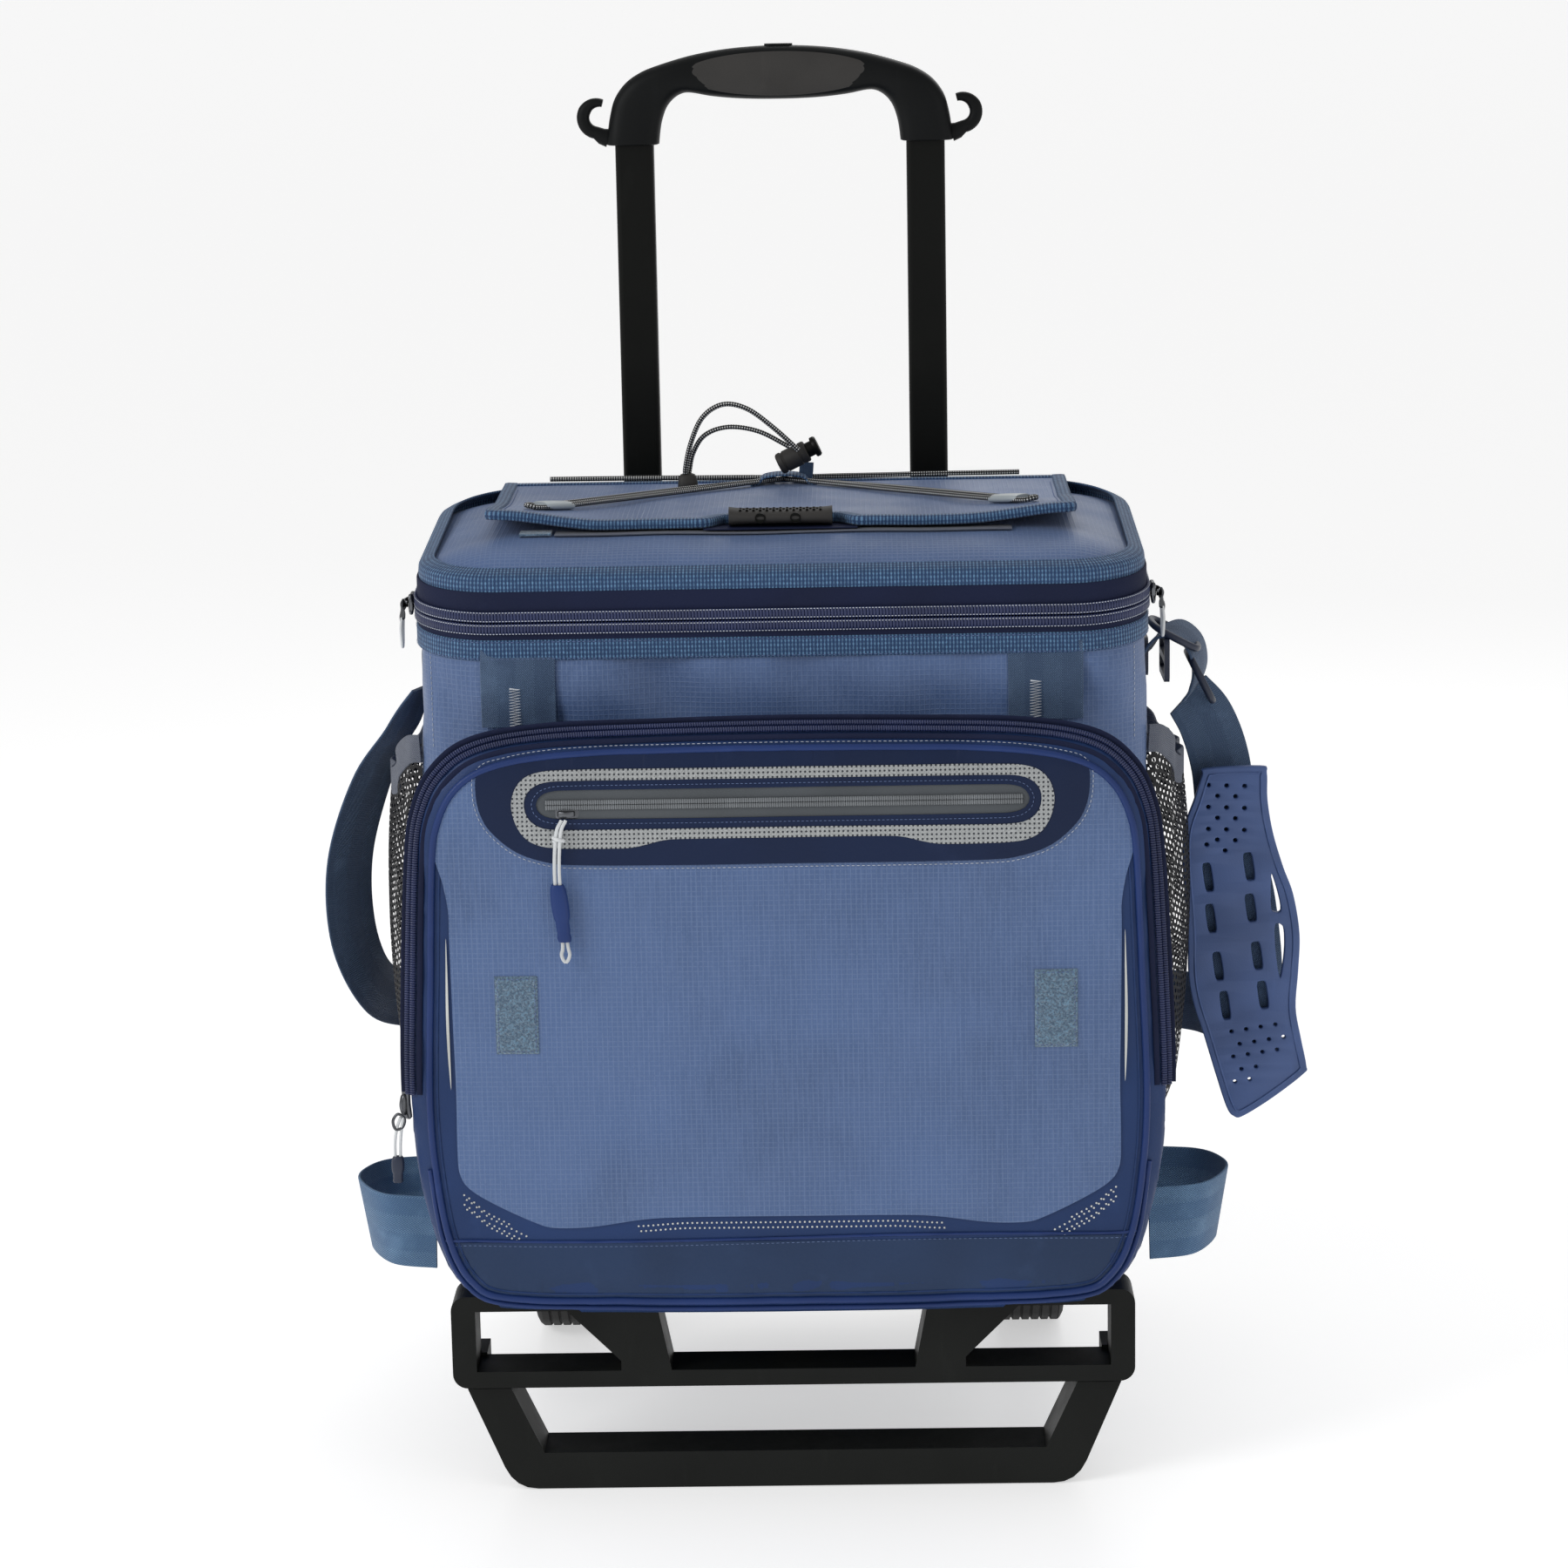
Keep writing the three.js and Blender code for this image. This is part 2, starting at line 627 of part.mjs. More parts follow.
// A round piece on the cord lock's own axis, from one distance along it to another.
function onLock(radius, from, to) {
  const g = new THREE.CylinderGeometry(radius, radius, to - from, 16);
  return g.rotateZ(-Math.PI / 2).translate((from + to) / 2, 0, 0).rotateY(-lockTilt).translate(...lockPlace);
}

const lockBarrel = () => without(solid(onLock(7, -10, 10)), onLock(5.4, 1, 12));
const lockPlunger = () => joined(onLock(5, 4.5, 14), onLock(6.6, 13.5, 18));

// ---------- assembly ----------
add('front_frame', frontFrame(), cartPlastic);
add('deck', deck(), cartPlastic);
add('foot', foot(), cartPlastic);
add('foot_hinge_pin', rod(pinRadius, [-195, 195], hingeY, hingeZ), steel);
add('base', base(), cartPlastic);
add('axle', rod(axleRadius, [-176, 176], axleY, wheelRadius), steel);
add('tube_brace', brace(), cartPlastic);
for (const [side, s] of sides) {
  add(`outer_tube_${side}`, hollowTube(s, outerTube), tubeMetal);
  add(`tube_collar_${side}`, collar(s), cartPlastic);
  add(`inner_tube_${side}`, hollowTube(s, innerTube), tubeMetal);
  add(`tyre_${side}`, tyre(s), tyreRubber);
  add(`hub_${side}`, hub(s), cartPlastic);
  add(`hub_cap_${side}`, hubCap(s), gripPlastic);
  add(`hook_${side}`, hook(s), gripPlastic);
}
add('grip_front', gripShell([tubeY - gripDepth / 2, tubeY - 0.15]), gripPlastic);
add('grip_rear', gripShell([tubeY + 0.15, tubeY + gripDepth / 2]), gripPlastic);
add('release_yoke', releaseYoke(), steel);
add('release_button', releaseButton(), gripPlastic);
add('button_spring', buttonSpring(), steel);

add('bag_body', bagBody(), ripstop);
add('bag_liner', bagLiner(), linerFoil);
add('zip_tape_lower', band((y) => seamZ(y) - 18, (y) => seamZ(y) - 0.2), navyFabric);
add('front_pocket', frontPocket(), ripstop);
add('rear_sleeve', rearSleeve(), webbing);
add('shoulder_strap', ribbon(strapRoute, strapAcross, strapWidth, strapThickness, 60), webbing);
add('shoulder_pad', shoulderPad(), padRubber);
add('tri_glide', triGlide(), buckle);
add('lid', lid(), ripstop);
add('zip_tape_upper', band((y) => seamZ(y) + 0.6, (y) => seamZ(y) + 20), navyFabric);
add('small_zip_slider', smallSlider(), sliderMetal);
add('small_zip_pull', smallPull(), pullCord);
add('pocket_zip_slider', pocketSlider(), sliderMetal);
for (const [side, s] of sides) {
  add(`side_pocket_${side}`, sidePocket(s), meshFabric);
  add(`side_loop_${side}`, sideLoop(s), webbing);
  add(`front_strap_${side}`, frontStrap(s), webbing);
  add(`hook_loop_patch_${side}`, patch(s), hookLoop);
  add(`side_ring_${side}`, ring(s), buckle);
  add(`lid_slider_${side}`, lidSlider(s), sliderMetal);
}

add('flap', flap(), ripstop);
add('flap_pull', flapPull(), softRubber);
add('bungee_cord', cord(bungeeRoute, cordRadius, 70), bungee);
add('lock_cord', cord(lockRoute, cordRadius, 60), bungee);
add('cord_tab', cordTab(), webbing);
add('cord_lock_barrel', lockBarrel(), gripPlastic);
add('cord_lock_plunger', lockPlunger(), gripPlastic);

export default cooler;
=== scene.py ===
"""Looks of the soft-sided cooler on its folding cart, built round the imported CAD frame."""
import math

import bmesh
import bpy
import numpy as np
from mathutils import Matrix, Vector, noise
from mathutils.bvhtree import BVHTree


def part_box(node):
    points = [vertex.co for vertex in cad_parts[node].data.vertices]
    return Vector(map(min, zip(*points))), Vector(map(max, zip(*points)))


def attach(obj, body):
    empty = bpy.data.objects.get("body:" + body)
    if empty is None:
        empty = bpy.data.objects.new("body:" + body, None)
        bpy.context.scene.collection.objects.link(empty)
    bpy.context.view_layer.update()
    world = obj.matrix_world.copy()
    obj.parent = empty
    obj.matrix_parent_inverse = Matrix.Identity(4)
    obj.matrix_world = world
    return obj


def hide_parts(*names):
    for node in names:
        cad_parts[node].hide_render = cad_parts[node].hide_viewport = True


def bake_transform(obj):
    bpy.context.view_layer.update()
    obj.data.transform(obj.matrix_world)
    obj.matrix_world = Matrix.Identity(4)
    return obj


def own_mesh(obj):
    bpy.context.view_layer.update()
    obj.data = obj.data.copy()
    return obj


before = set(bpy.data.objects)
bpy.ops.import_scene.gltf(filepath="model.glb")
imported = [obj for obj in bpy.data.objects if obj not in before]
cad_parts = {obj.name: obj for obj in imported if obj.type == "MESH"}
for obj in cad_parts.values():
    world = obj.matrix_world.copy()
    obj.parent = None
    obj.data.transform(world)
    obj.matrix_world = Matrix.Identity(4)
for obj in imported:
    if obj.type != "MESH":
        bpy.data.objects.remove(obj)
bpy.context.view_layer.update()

scene = bpy.context.scene
MM = 0.001


# ---------------------------------------------------------------- sizes, in millimetres
def box_mm(node):
    """Lowest and highest corner of a CAD node, in millimetres."""
    low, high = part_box(node)
    return np.array(low) / MM, np.array(high) / MM


body_low, body_high = box_mm("bag_body")
lid_high = box_mm("lid")[1]
flap_high = box_mm("flap")[1]
pull_low, pull_high = box_mm("flap_pull")
pocket_low = box_mm("front_pocket")[0]
strap_low, strap_high = box_mm("front_strap_right")
patch_low, patch_high = box_mm("hook_loop_patch_right")
mesh_low, mesh_high = box_mm("side_pocket_right")
sleeve_low, sleeve_high = box_mm("rear_sleeve")
slider_low, slider_high = box_mm("lid_slider_right")
small_low, small_high = box_mm("small_zip_slider")
small_pull_low = box_mm("small_zip_pull")[0]
side_slider_low, side_slider_high = box_mm("pocket_zip_slider")

BAG_HALF = body_high[0]
BAG_BACK = body_high[1]
BAG_BOTTOM = body_low[2]
BAG_CORNER = 48.0
BAG_REAR_CORNER = 70.0
SEAM_FRONT = 533.0
SEAM_SLOPE = 0.089
LID_TOP_SLOPE = 0.07
LID_BACK = lid_high[1]
POCKET_FRONT = pocket_low[1]
PANEL_Y = POCKET_FRONT + 0.8
FLAP_TOP = flap_high[2]
CORD_RADIUS = 1.6
CORD_Z = FLAP_TOP + CORD_RADIUS + 0.4
STRAP_WIDTH = 38.0
COIL_PITCH = 1.9
BASE_SHARE = 0.075
BASE_CORNER_MIN = 8.0
LID_TOP = 577.4
BACK_PANEL_HALF = 168.0
BACK_PANEL_FOOT = 548.0
BACK_PANEL_TOP = 574.0
GRIP_Y = 291.0
WHEEL_X = 155.0
WHEEL_Y = 288.0
WHEEL_RADIUS = 64.0
TYRE_HALF_WIDTH = 22.0
TREAD_START = 63.0
POCKET_RAY_Y = -120.0
BODY_RAY_Y = -60.0
RING_Y = 132.0


def seam_z(y):
    """Height of the lid zip's middle."""
    return SEAM_FRONT + SEAM_SLOPE * y


def lid_edge_z(y):
    """Height of the lid's top edge."""
    return 558.0 + LID_TOP_SLOPE * y


def smoothstep(low, high, value):
    """0 up to low, 1 from high on, and a smooth change between; low may be the greater."""
    t = min(max((value - low) / (high - low), 0.0), 1.0)
    return t * t * (3 - 2 * t)


# ---------------------------------------------------------------- camera
def camera():
    """The photograph's view: a long lens, a little above the bag and turned slightly left."""
    pitch = math.radians(12.0)
    yaw = math.radians(-1.02)
    roll = math.radians(1.05)
    forward = Vector((math.sin(yaw) * math.cos(pitch), math.cos(yaw) * math.cos(pitch), -math.sin(pitch)))
    level = Vector((math.cos(yaw), -math.sin(yaw), 0))
    upright = level.cross(forward)
    right = level * math.cos(roll) - upright * math.sin(roll)
    up = upright * math.cos(roll) + level * math.sin(roll)
    lens = bpy.data.cameras.new("camera")
    lens.lens = 93.12
    lens.sensor_width = 36
    lens.clip_end = 200
    obj = bpy.data.objects.new("camera", lens)
    obj.matrix_world = Matrix((
        (right.x, up.x, -forward.x, 42 * MM),
        (right.y, up.y, -forward.y, -2345 * MM),
        (right.z, up.z, -forward.z, 932 * MM),
        (0, 0, 0, 1),
    ))
    scene.collection.objects.link(obj)
    scene.camera = obj


camera()


# ---------------------------------------------------------------- materials
def srgb(r, g, b):
    """A display colour, 0 to 255, as linear light."""
    def linear(c):
        c = c / 255
        return c / 12.92 if c <= 0.04045 else ((c + 0.055) / 1.055) ** 2.4
    return (linear(r), linear(g), linear(b), 1.0)


class Surface:
    """One procedural material. place is the point in the piece's own space and uv the way along
    and across a strip, both in millimetres; normal is the piece's own."""

    def __init__(self, name, **settings):
        self.material = bpy.data.materials.new(name)
        self.material.use_nodes = True
        self.tree = self.material.node_tree
        self.tree.nodes.clear()
        self.shader = self.tree.nodes.new("ShaderNodeBsdfPrincipled")
        output = self.tree.nodes.new("ShaderNodeOutputMaterial")
        self.tree.links.new(self.shader.outputs[0], output.inputs[0])
        for label, value in settings.items():
            self.shader.inputs[label.replace("_", " ").title().replace("Ior", "IOR")].default_value = value
        coords = self.tree.nodes.new("ShaderNodeTexCoord")
        self.place = self.vector("SCALE", coords.outputs["Object"], scale=1 / MM)
        self.uv = coords.outputs["UV"]
        self.normal = coords.outputs["Normal"]

    def put(self, socket, value):
        """Links value to the socket if it is an output, or sets it."""
        if isinstance(value, bpy.types.NodeSocket):
            self.tree.links.new(value, socket)
        else:
            socket.default_value = value

    def math(self, operation, *values):
        """The output of a Math node."""
        node = self.tree.nodes.new("ShaderNodeMath")
        node.operation = operation
        for socket, value in zip(node.inputs, values):
            self.put(socket, value)
        return node.outputs[0]

    def vector(self, operation, first, second=None, scale=None):
        """The output of a Vector Math node."""
        node = self.tree.nodes.new("ShaderNodeVectorMath")
        node.operation = operation
        self.put(node.inputs[0], first)
        if second is not None:
            self.put(node.inputs[1], second)
        if scale is not None:
            self.put(node.inputs["Scale"], scale)
        return node.outputs[0]

    def split(self, vector):
        """The three parts of a vector."""
        node = self.tree.nodes.new("ShaderNodeSeparateXYZ")
        self.put(node.inputs[0], vector)
        return node.outputs

    def ramp(self, value, low, high, at_low=0.0, at_high=1.0):
        """A smooth change from at_low to at_high as value goes from low to high."""
        node = self.tree.nodes.new("ShaderNodeMapRange")
        node.interpolation_type = "SMOOTHSTEP"
        self.put(node.inputs["Value"], value)
        for label, number in zip(("From Min", "From Max", "To Min", "To Max"), (low, high, at_low, at_high)):
            node.inputs[label].default_value = number
        return node.outputs[0]

    def mix(self, amount, first, second):
        """A colour between first, at amount 0, and second, at 1."""
        node = self.tree.nodes.new("ShaderNodeMix")
        node.data_type = "RGBA"
        self.put(node.inputs[0], amount)
        self.put(node.inputs[6], first)
        self.put(node.inputs[7], second)
        return node.outputs[2]

    def noise(self, size, stretch=(1, 1, 1), detail=2.0):
        """Soft random values from 0 to 1 that change over about size millimetres."""
        node = self.tree.nodes.new("ShaderNodeTexNoise")
        self.put(node.inputs["Vector"], self.vector("MULTIPLY", self.place, stretch))
        node.inputs["Scale"].default_value = 1 / size
        node.inputs["Detail"].default_value = detail
        return node.outputs[0]

    def bumped(self, height, distance):
        """Raises the surface by distance millimetres where height is 1."""
        node = self.tree.nodes.new("ShaderNodeBump")
        node.inputs["Distance"].default_value = distance * MM
        self.put(node.inputs["Height"], height)
        self.tree.links.new(node.outputs[0], self.shader.inputs["Normal"])

    def done(self, color, roughness=None):
        """Sets the last values and returns the material."""
        self.put(self.shader.inputs["Base Color"], color)
        if roughness is not None:
            self.put(self.shader.inputs["Roughness"], roughness)
        return self.material

    def patchy(self, color, amount=0.12, size=60):
        """color with broad lighter and darker areas and fine dust, as used cloth or plastic has."""
        broad = self.ramp(self.noise(size), 0.3, 0.7)
        dark = tuple(c * (1 - amount) for c in color[:3]) + (1.0,)
        light = tuple(min(1, c * (1 + amount)) for c in color[:3]) + (1.0,)
        return self.mix(broad, dark, light)


def ripstop_material():
    """Coated ripstop: a square grid of thicker threads every 3 mm, over a fine plain weave."""
    s = Surface("ripstop", specular_ior_level=0.35, sheen_weight=0.08, sheen_roughness=0.4)
    grid = 0.0
    for place, facing in zip(s.split(s.place), s.split(s.normal)):
        line = s.ramp(s.math("PINGPONG", place, 1.5), 0.12, 0.5, 1.0, 0.0)
        seen = s.ramp(s.math("ABSOLUTE", facing), 0.6, 0.9, 1.0, 0.0)
        grid = s.math("MAXIMUM", grid, s.math("MULTIPLY", line, seen))
    broken = s.math("MULTIPLY", grid, s.ramp(s.noise(1.6), 0.3, 0.6, 0.35, 1.0))
    streaks = s.ramp(s.noise(1.1, (1, 1, 0.06), 1.0), 0.35, 0.65)
    base = s.patchy(srgb(74, 97, 138), 0.12, 90)
    woven = s.mix(s.math("MULTIPLY", streaks, 0.3), base, srgb(92, 114, 156))
    color = s.mix(s.math("MULTIPLY", broken, 0.24), woven, srgb(132, 150, 184))
    weave = s.math("ADD", grid, s.math("MULTIPLY", s.noise(0.7), 0.8))
    s.bumped(weave, 0.12)
    return s.done(color, s.ramp(s.noise(40), 0.3, 0.7, 0.4, 0.52))


def coated_material(name, color, roughness, grain):
    """Smooth coated cloth with a leather-like grain, paler where it has been rubbed."""
    s = Surface(name, specular_ior_level=0.25)
    cells = s.noise(grain, detail=4.0)
    rubbed = s.ramp(s.noise(22, detail=5.0), 0.58, 0.8, 0.0, 0.25)
    pale = tuple(min(1, c * 1.6 + 0.01) for c in color[:3]) + (1.0,)
    s.bumped(cells, 0.1)
    cloth = s.mix(rubbed, s.patchy(color, 0.1, 70), pale)
    return s.done(cloth, s.ramp(cells, 0.3, 0.7, roughness, roughness + 0.12))


def webbing_material(name, dark, light, band, pitch):
    """Herringbone webbing: slanting yarns that turn back at each band across the strap, with painted sheen
    that makes alternate bands lighter and darker.
    """
    s = Surface(name, specular_ior_level=0.35, sheen_weight=0.15, sheen_roughness=0.5)
    along, across, _ = s.split(s.uv)
    slant = s.math("ADD", along, s.math("MULTIPLY", s.math("PINGPONG", across, band), 1.5))
    yarn = s.ramp(s.math("PINGPONG", slant, pitch / 2), 0.0, pitch / 2)
    fleck = s.ramp(s.math("PINGPONG", s.math("ADD", across, s.noise(2.0)), 0.45), 0.0, 0.45)
    # lean is painted sheen: alternate bands lighter and darker, as the slanted yarns would catch the light
    lean = s.ramp(s.math("SINE", s.math("MULTIPLY", across, math.pi / band)), -0.25, 0.25, 0.62, 1.0)
    shade = s.math("MULTIPLY", s.math("MULTIPLY", yarn, lean), s.math("MULTIPLY_ADD", fleck, 0.6, 0.4))
    s.bumped(shade, 0.35)
    worn = s.ramp(s.noise(18, detail=4.0), 0.5, 0.8, 0.0, 0.18)
    color = s.mix(s.math("ADD", s.math("MULTIPLY", shade, 0.75), worn), dark, light)
    return s.done(color, s.ramp(shade, 0, 1, 0.75, 0.55))


def binding_material():
    """Woven binding tape: ribs across its width, broken into short pale picks."""
    s = Surface("binding", specular_ior_level=0.35, sheen_weight=0.15, sheen_roughness=0.5)
    along, across, _ = s.split(s.uv)
    rib = s.math("SINE", s.math("MULTIPLY", along, 2 * math.pi / 2.1))
    row = s.math("SINE", s.math("MULTIPLY", across, 2 * math.pi / 2.6))
    pick = s.ramp(s.math("MULTIPLY_ADD", row, 0.6, rib), -0.5, 1.1)
    pale = s.math("MULTIPLY", pick, s.ramp(s.noise(2.4, detail=3.0), 0.35, 0.65, 0.45, 1.0))
    s.bumped(pick, 0.5)
    return s.done(s.mix(pale, srgb(30, 58, 96), srgb(94, 134, 172)), s.ramp(pick, 0, 1, 0.8, 0.55))


def plastic_material(name, color, roughness, grain=0.8, depth=0.05, shine=0.45):
    """Moulded plastic with a fine spark grain, dulled and scuffed in places."""
    s = Surface(name, specular_ior_level=shine)
    spark = s.noise(grain, detail=3.0)
    scuff = s.ramp(s.noise(14, (1, 1, 0.25), 6.0), 0.6, 0.8, 0.0, 0.22)
    pale = tuple(min(1, c * 2.2 + 0.012) for c in color[:3]) + (1.0,)
    s.bumped(spark, depth)
    uneven = s.ramp(s.noise(30), 0.3, 0.7, roughness, roughness + 0.1)
    rough = s.math("ADD", uneven, s.math("MULTIPLY", scuff, 0.3))
    return s.done(s.mix(scuff, s.patchy(color, 0.15, 50), pale), rough)


def metal_material(name, color, roughness):
    """Brushed or plated metal with fine scratches."""
    s = Surface(name, metallic=1.0)
    brushed = s.noise(0.5, (0.08, 1, 1), 3.0)
    s.bumped(brushed, 0.02)
    smudge = s.ramp(s.noise(9, detail=4.0), 0.35, 0.7, roughness, roughness + 0.2)
    return s.done(s.patchy(color, 0.12, 12), smudge)


def bungee_material():
    """Braided elastic: black with pairs of pale tracer threads."""
    s = Surface("bungee", specular_ior_level=0.3, sheen_weight=0.1)
    along, around, _ = s.split(s.uv)
    run = s.math("MULTIPLY", along, 1.15)
    strands = [s.math("SINE", s.math("MULTIPLY", s.math(way, run, around), 1.75))
               for way in ("ADD", "SUBTRACT")]
    braid = s.math("MULTIPLY", *strands)
    tracer = s.ramp(braid, 0.3, 0.45)
    s.bumped(s.math("ABSOLUTE", braid), 0.3)
    threads = s.mix(tracer, s.patchy(srgb(22, 22, 24), 0.3, 3), srgb(215, 216, 214))
    return s.done(threads, s.ramp(braid, -1, 1, 0.85, 0.65))


def fuzzy_material(name, dark, light):
    """Soft hook-and-loop pile."""
    s = Surface(name, specular_ior_level=0.2, sheen_weight=0.5, sheen_roughness=0.7, roughness=0.95)
    pile = s.ramp(s.noise(1.3, detail=6.0), 0.35, 0.65)
    s.bumped(pile, 0.6)
    return s.done(s.mix(pile, dark, light), s.ramp(pile, 0, 1, 0.98, 0.85))


def reflective_material():
    """Silver reflective print with a square pattern of small dark dots."""
    s = Surface("reflective", metallic=0.35, specular_ior_level=0.6)
    x, _, z = s.split(s.place)
    step_x = s.math("PINGPONG", x, 1.35)
    step_z = s.math("PINGPONG", z, 1.35)
    squares = [s.math("MULTIPLY", step, step) for step in (step_x, step_z)]
    away = s.math("SQRT", s.math("ADD", *squares))
    dot = s.ramp(away, 0.55, 0.75, 1.0, 0.0)
    grain = s.noise(0.9, detail=4.0)
    s.bumped(s.math("SUBTRACT", grain, dot), 0.08)
    silver = s.mix(s.ramp(grain, 0.3, 0.7), srgb(140, 143, 144), srgb(172, 175, 176))
    return s.done(s.mix(dot, silver, srgb(40, 44, 52)), s.ramp(grain, 0, 1, 0.34, 0.5))


def foil_material():
    """Silver insulating liner, crinkled all over."""
    s = Surface("liner_foil", metallic=0.75)
    crinkle = s.noise(14, detail=6.0)
    s.bumped(crinkle, 2.0)
    silver = s.mix(s.ramp(crinkle, 0.3, 0.7), srgb(176, 180, 184), srgb(222, 225, 228))
    return s.done(silver, s.ramp(crinkle, 0, 1, 0.25, 0.45))


def floor_material():
    """White studio floor, lit from within so that it stays white far from the lamps."""
    s = Surface("floor", specular_ior_level=0.2, emission_color=(1, 1, 1, 1), emission_strength=0.5)
    grain = s.noise(900, detail=1.0)
    white = s.mix(grain, (0.78, 0.78, 0.78, 1), (0.8, 0.8, 0.8, 1))
    return s.done(white, s.ramp(grain, 0, 1, 0.3, 0.34))


ripstop = ripstop_material()
navy = coated_material("navy_trim", srgb(28, 52, 96), 0.42, 0.9)
insert_navy = coated_material("navy_insert", srgb(8, 27, 60), 0.42, 1.1)
band_navy = coated_material("navy_band", srgb(32, 52, 84), 0.42, 1.6)
piping_navy = coated_material("navy_piping", srgb(30, 52, 104), 0.36, 1.0)
tape_navy = coated_material("zip_tape", srgb(15, 24, 54), 0.7, 0.6)
webbing = webbing_material("webbing", srgb(32, 53, 82), srgb(112, 140, 174), 11.0, 1.5)
# A brighter copy of the webbing for the side loops: painted light, standing in for the light that falls on
# them
painted_lit_webbing = webbing_material("painted_lit_webbing", srgb(44, 78, 116), srgb(140, 178, 212), 11.5, 1.8)
binding = binding_material()
elastic_grey = webbing_material("elastic", srgb(70, 76, 92), srgb(128, 134, 146), 40.0, 1.6)
coil_navy = plastic_material("coil_navy", srgb(32, 42, 80), 0.3)
coil_grey = plastic_material("coil_grey", srgb(112, 116, 120), 0.4)
tape_grey = coated_material("zip_tape_grey", srgb(78, 82, 86), 0.75, 0.6)
cart_plastic = plastic_material("cart_plastic", srgb(14, 16, 14), 0.42, 0.9, 0.08, 0.18)
grip_plastic = plastic_material("grip_plastic", srgb(10, 12, 13), 0.42, 0.7, 0.07, 0.14)
tube_black = plastic_material("tube_black", srgb(6, 7, 5), 0.34, 0.4, 0.03, 0.14)
steel = metal_material("steel", srgb(176, 178, 180), 0.28)
gunmetal = metal_material("gunmetal", srgb(96, 98, 102), 0.22)
tyre_rubber = plastic_material("tyre_rubber", srgb(30, 30, 30), 0.75, 1.5, 0.2)
soft_rubber = plastic_material("soft_rubber", srgb(40, 38, 36), 0.55, 0.8, 0.1)
pad_rubber = plastic_material("pad_rubber", srgb(70, 92, 140), 0.5, 1.0, 0.1)
buckle_plastic = plastic_material("buckle", srgb(34, 42, 62), 0.36, 0.8, 0.05)
net_black = plastic_material("net_black", srgb(20, 20, 23), 0.7, 0.6, 0.1)
thread_pale = plastic_material("thread_pale", srgb(178, 184, 196), 0.7, 0.5, 0.05)
thread_white = plastic_material("thread_white", srgb(226, 230, 236), 0.7, 0.5, 0.05)
thread_blue = plastic_material("thread_blue", srgb(92, 110, 150), 0.7, 0.5, 0.05)
pull_cord = plastic_material("pull_cord", srgb(205, 208, 210), 0.6, 0.7, 0.12)
clear_grey = plastic_material("sleeve_grey", srgb(168, 176, 180), 0.35, 0.9, 0.05)
bungee = bungee_material()
pile_blue = fuzzy_material("hook_loop", srgb(44, 78, 106), srgb(88, 126, 154))
reflective = reflective_material()
silver_trim = plastic_material("silver_trim", srgb(190, 192, 190), 0.4, 0.6, 0.04)
foil = foil_material()


# ---------------------------------------------------------------- building meshes
def shape(name, points, faces, material, uvs=None, sharp=40):
    """A mesh object from points in millimetres. uvs holds a pair for each corner of each face."""
    mesh = bpy.data.meshes.new(name)
    mesh.from_pydata((np.asarray(points, float) * MM).tolist(), [], faces)
    if uvs is not None:
        layer = mesh.uv_layers.new(name="strip")
        layer.data.foreach_set("uv", np.asarray(uvs, np.float32).ravel())
    work = bmesh.new()
    work.from_mesh(mesh)
    bmesh.ops.recalc_face_normals(work, faces=work.faces)
    work.to_mesh(mesh)
    work.free()
    mesh.polygons.foreach_set("use_smooth", [True] * len(mesh.polygons))
    mesh.set_sharp_from_angle(angle=math.radians(sharp))
    mesh.materials.append(material)
    obj = bpy.data.objects.new(name, mesh)
    scene.collection.objects.link(obj)
    return obj


def place(obj, body, slot, *nodes):
    """Puts a finished piece on its body and hides the CAD nodes that it stands for; slot, its finish, is not
    used."""
    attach(obj, body)
    if nodes:
        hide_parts(*nodes)
    return obj


def loft(rows, around=False, loop=False, ends=False):
    """Faces over rows of points: around closes each row, loop joins the last row to the first,
    ends caps the first and last rows. Returns points, faces and corner uvs in millimetres."""
    rows = np.asarray(rows, float)
    count, width = rows.shape[:2]
    chain = np.concatenate([rows, rows[:1]]) if loop else rows
    steps = np.linalg.norm(np.diff(chain, axis=0), axis=2).mean(1)
    along = np.concatenate([[0], np.cumsum(steps)])
    ring = rows[count // 2]
    if around:
        ring = np.vstack([ring, ring[:1]])
    across = np.concatenate([[0], np.cumsum(np.linalg.norm(np.diff(ring, axis=0), axis=1))])
    faces = []
    uvs = []
    for i in range(count if loop else count - 1):
        low = i * width
        high = ((i + 1) % count) * width
        for j in range(width if around else width - 1):
            k = (j + 1) % width
            faces.append((low + j, low + k, high + k, high + j))
            uvs += [(along[i], across[j]), (along[i], across[j + 1]),
                    (along[i + 1], across[j + 1]), (along[i + 1], across[j])]
    if ends:
        for start, at in ((0, along[0]), ((count - 1) * width, along[count - 1])):
            faces.append(tuple(range(start, start + width)))
            uvs += [(at, across[j]) for j in range(width)]
    return rows.reshape(-1, 3), faces, uvs


def lofted(name, rows, material, sharp=40, around=True, loop=False):
    """A mesh object lofted over rows: a capped solid, a closed ring, or an open sheet."""
    points, faces, uvs = loft(rows, around, loop, ends=around and not loop)
    return shape(name, points, faces, material, uvs, sharp)


def spline(points, steps, closed=False):
    """A smooth line through points, with steps pieces between each two."""
    points = np.asarray(points, float)
    if closed:
        padded = np.vstack([points[-1:], points, points[:2]])
    else:
        padded = np.vstack([2 * points[0] - points[1], points, 2 * points[-1] - points[-2]])
    line = []
    for a, b, c, d in zip(padded, padded[1:], padded[2:], padded[3:]):
        for i in range(steps):
            t = i / steps
            line.append(0.5 * (2 * b + (c - a) * t + (2 * a - 5 * b + 4 * c - d) * t * t
                               + (3 * b - a - 3 * c + d) * t ** 3))
    if not closed:
        line.append(points[-1])
    return np.array(line)


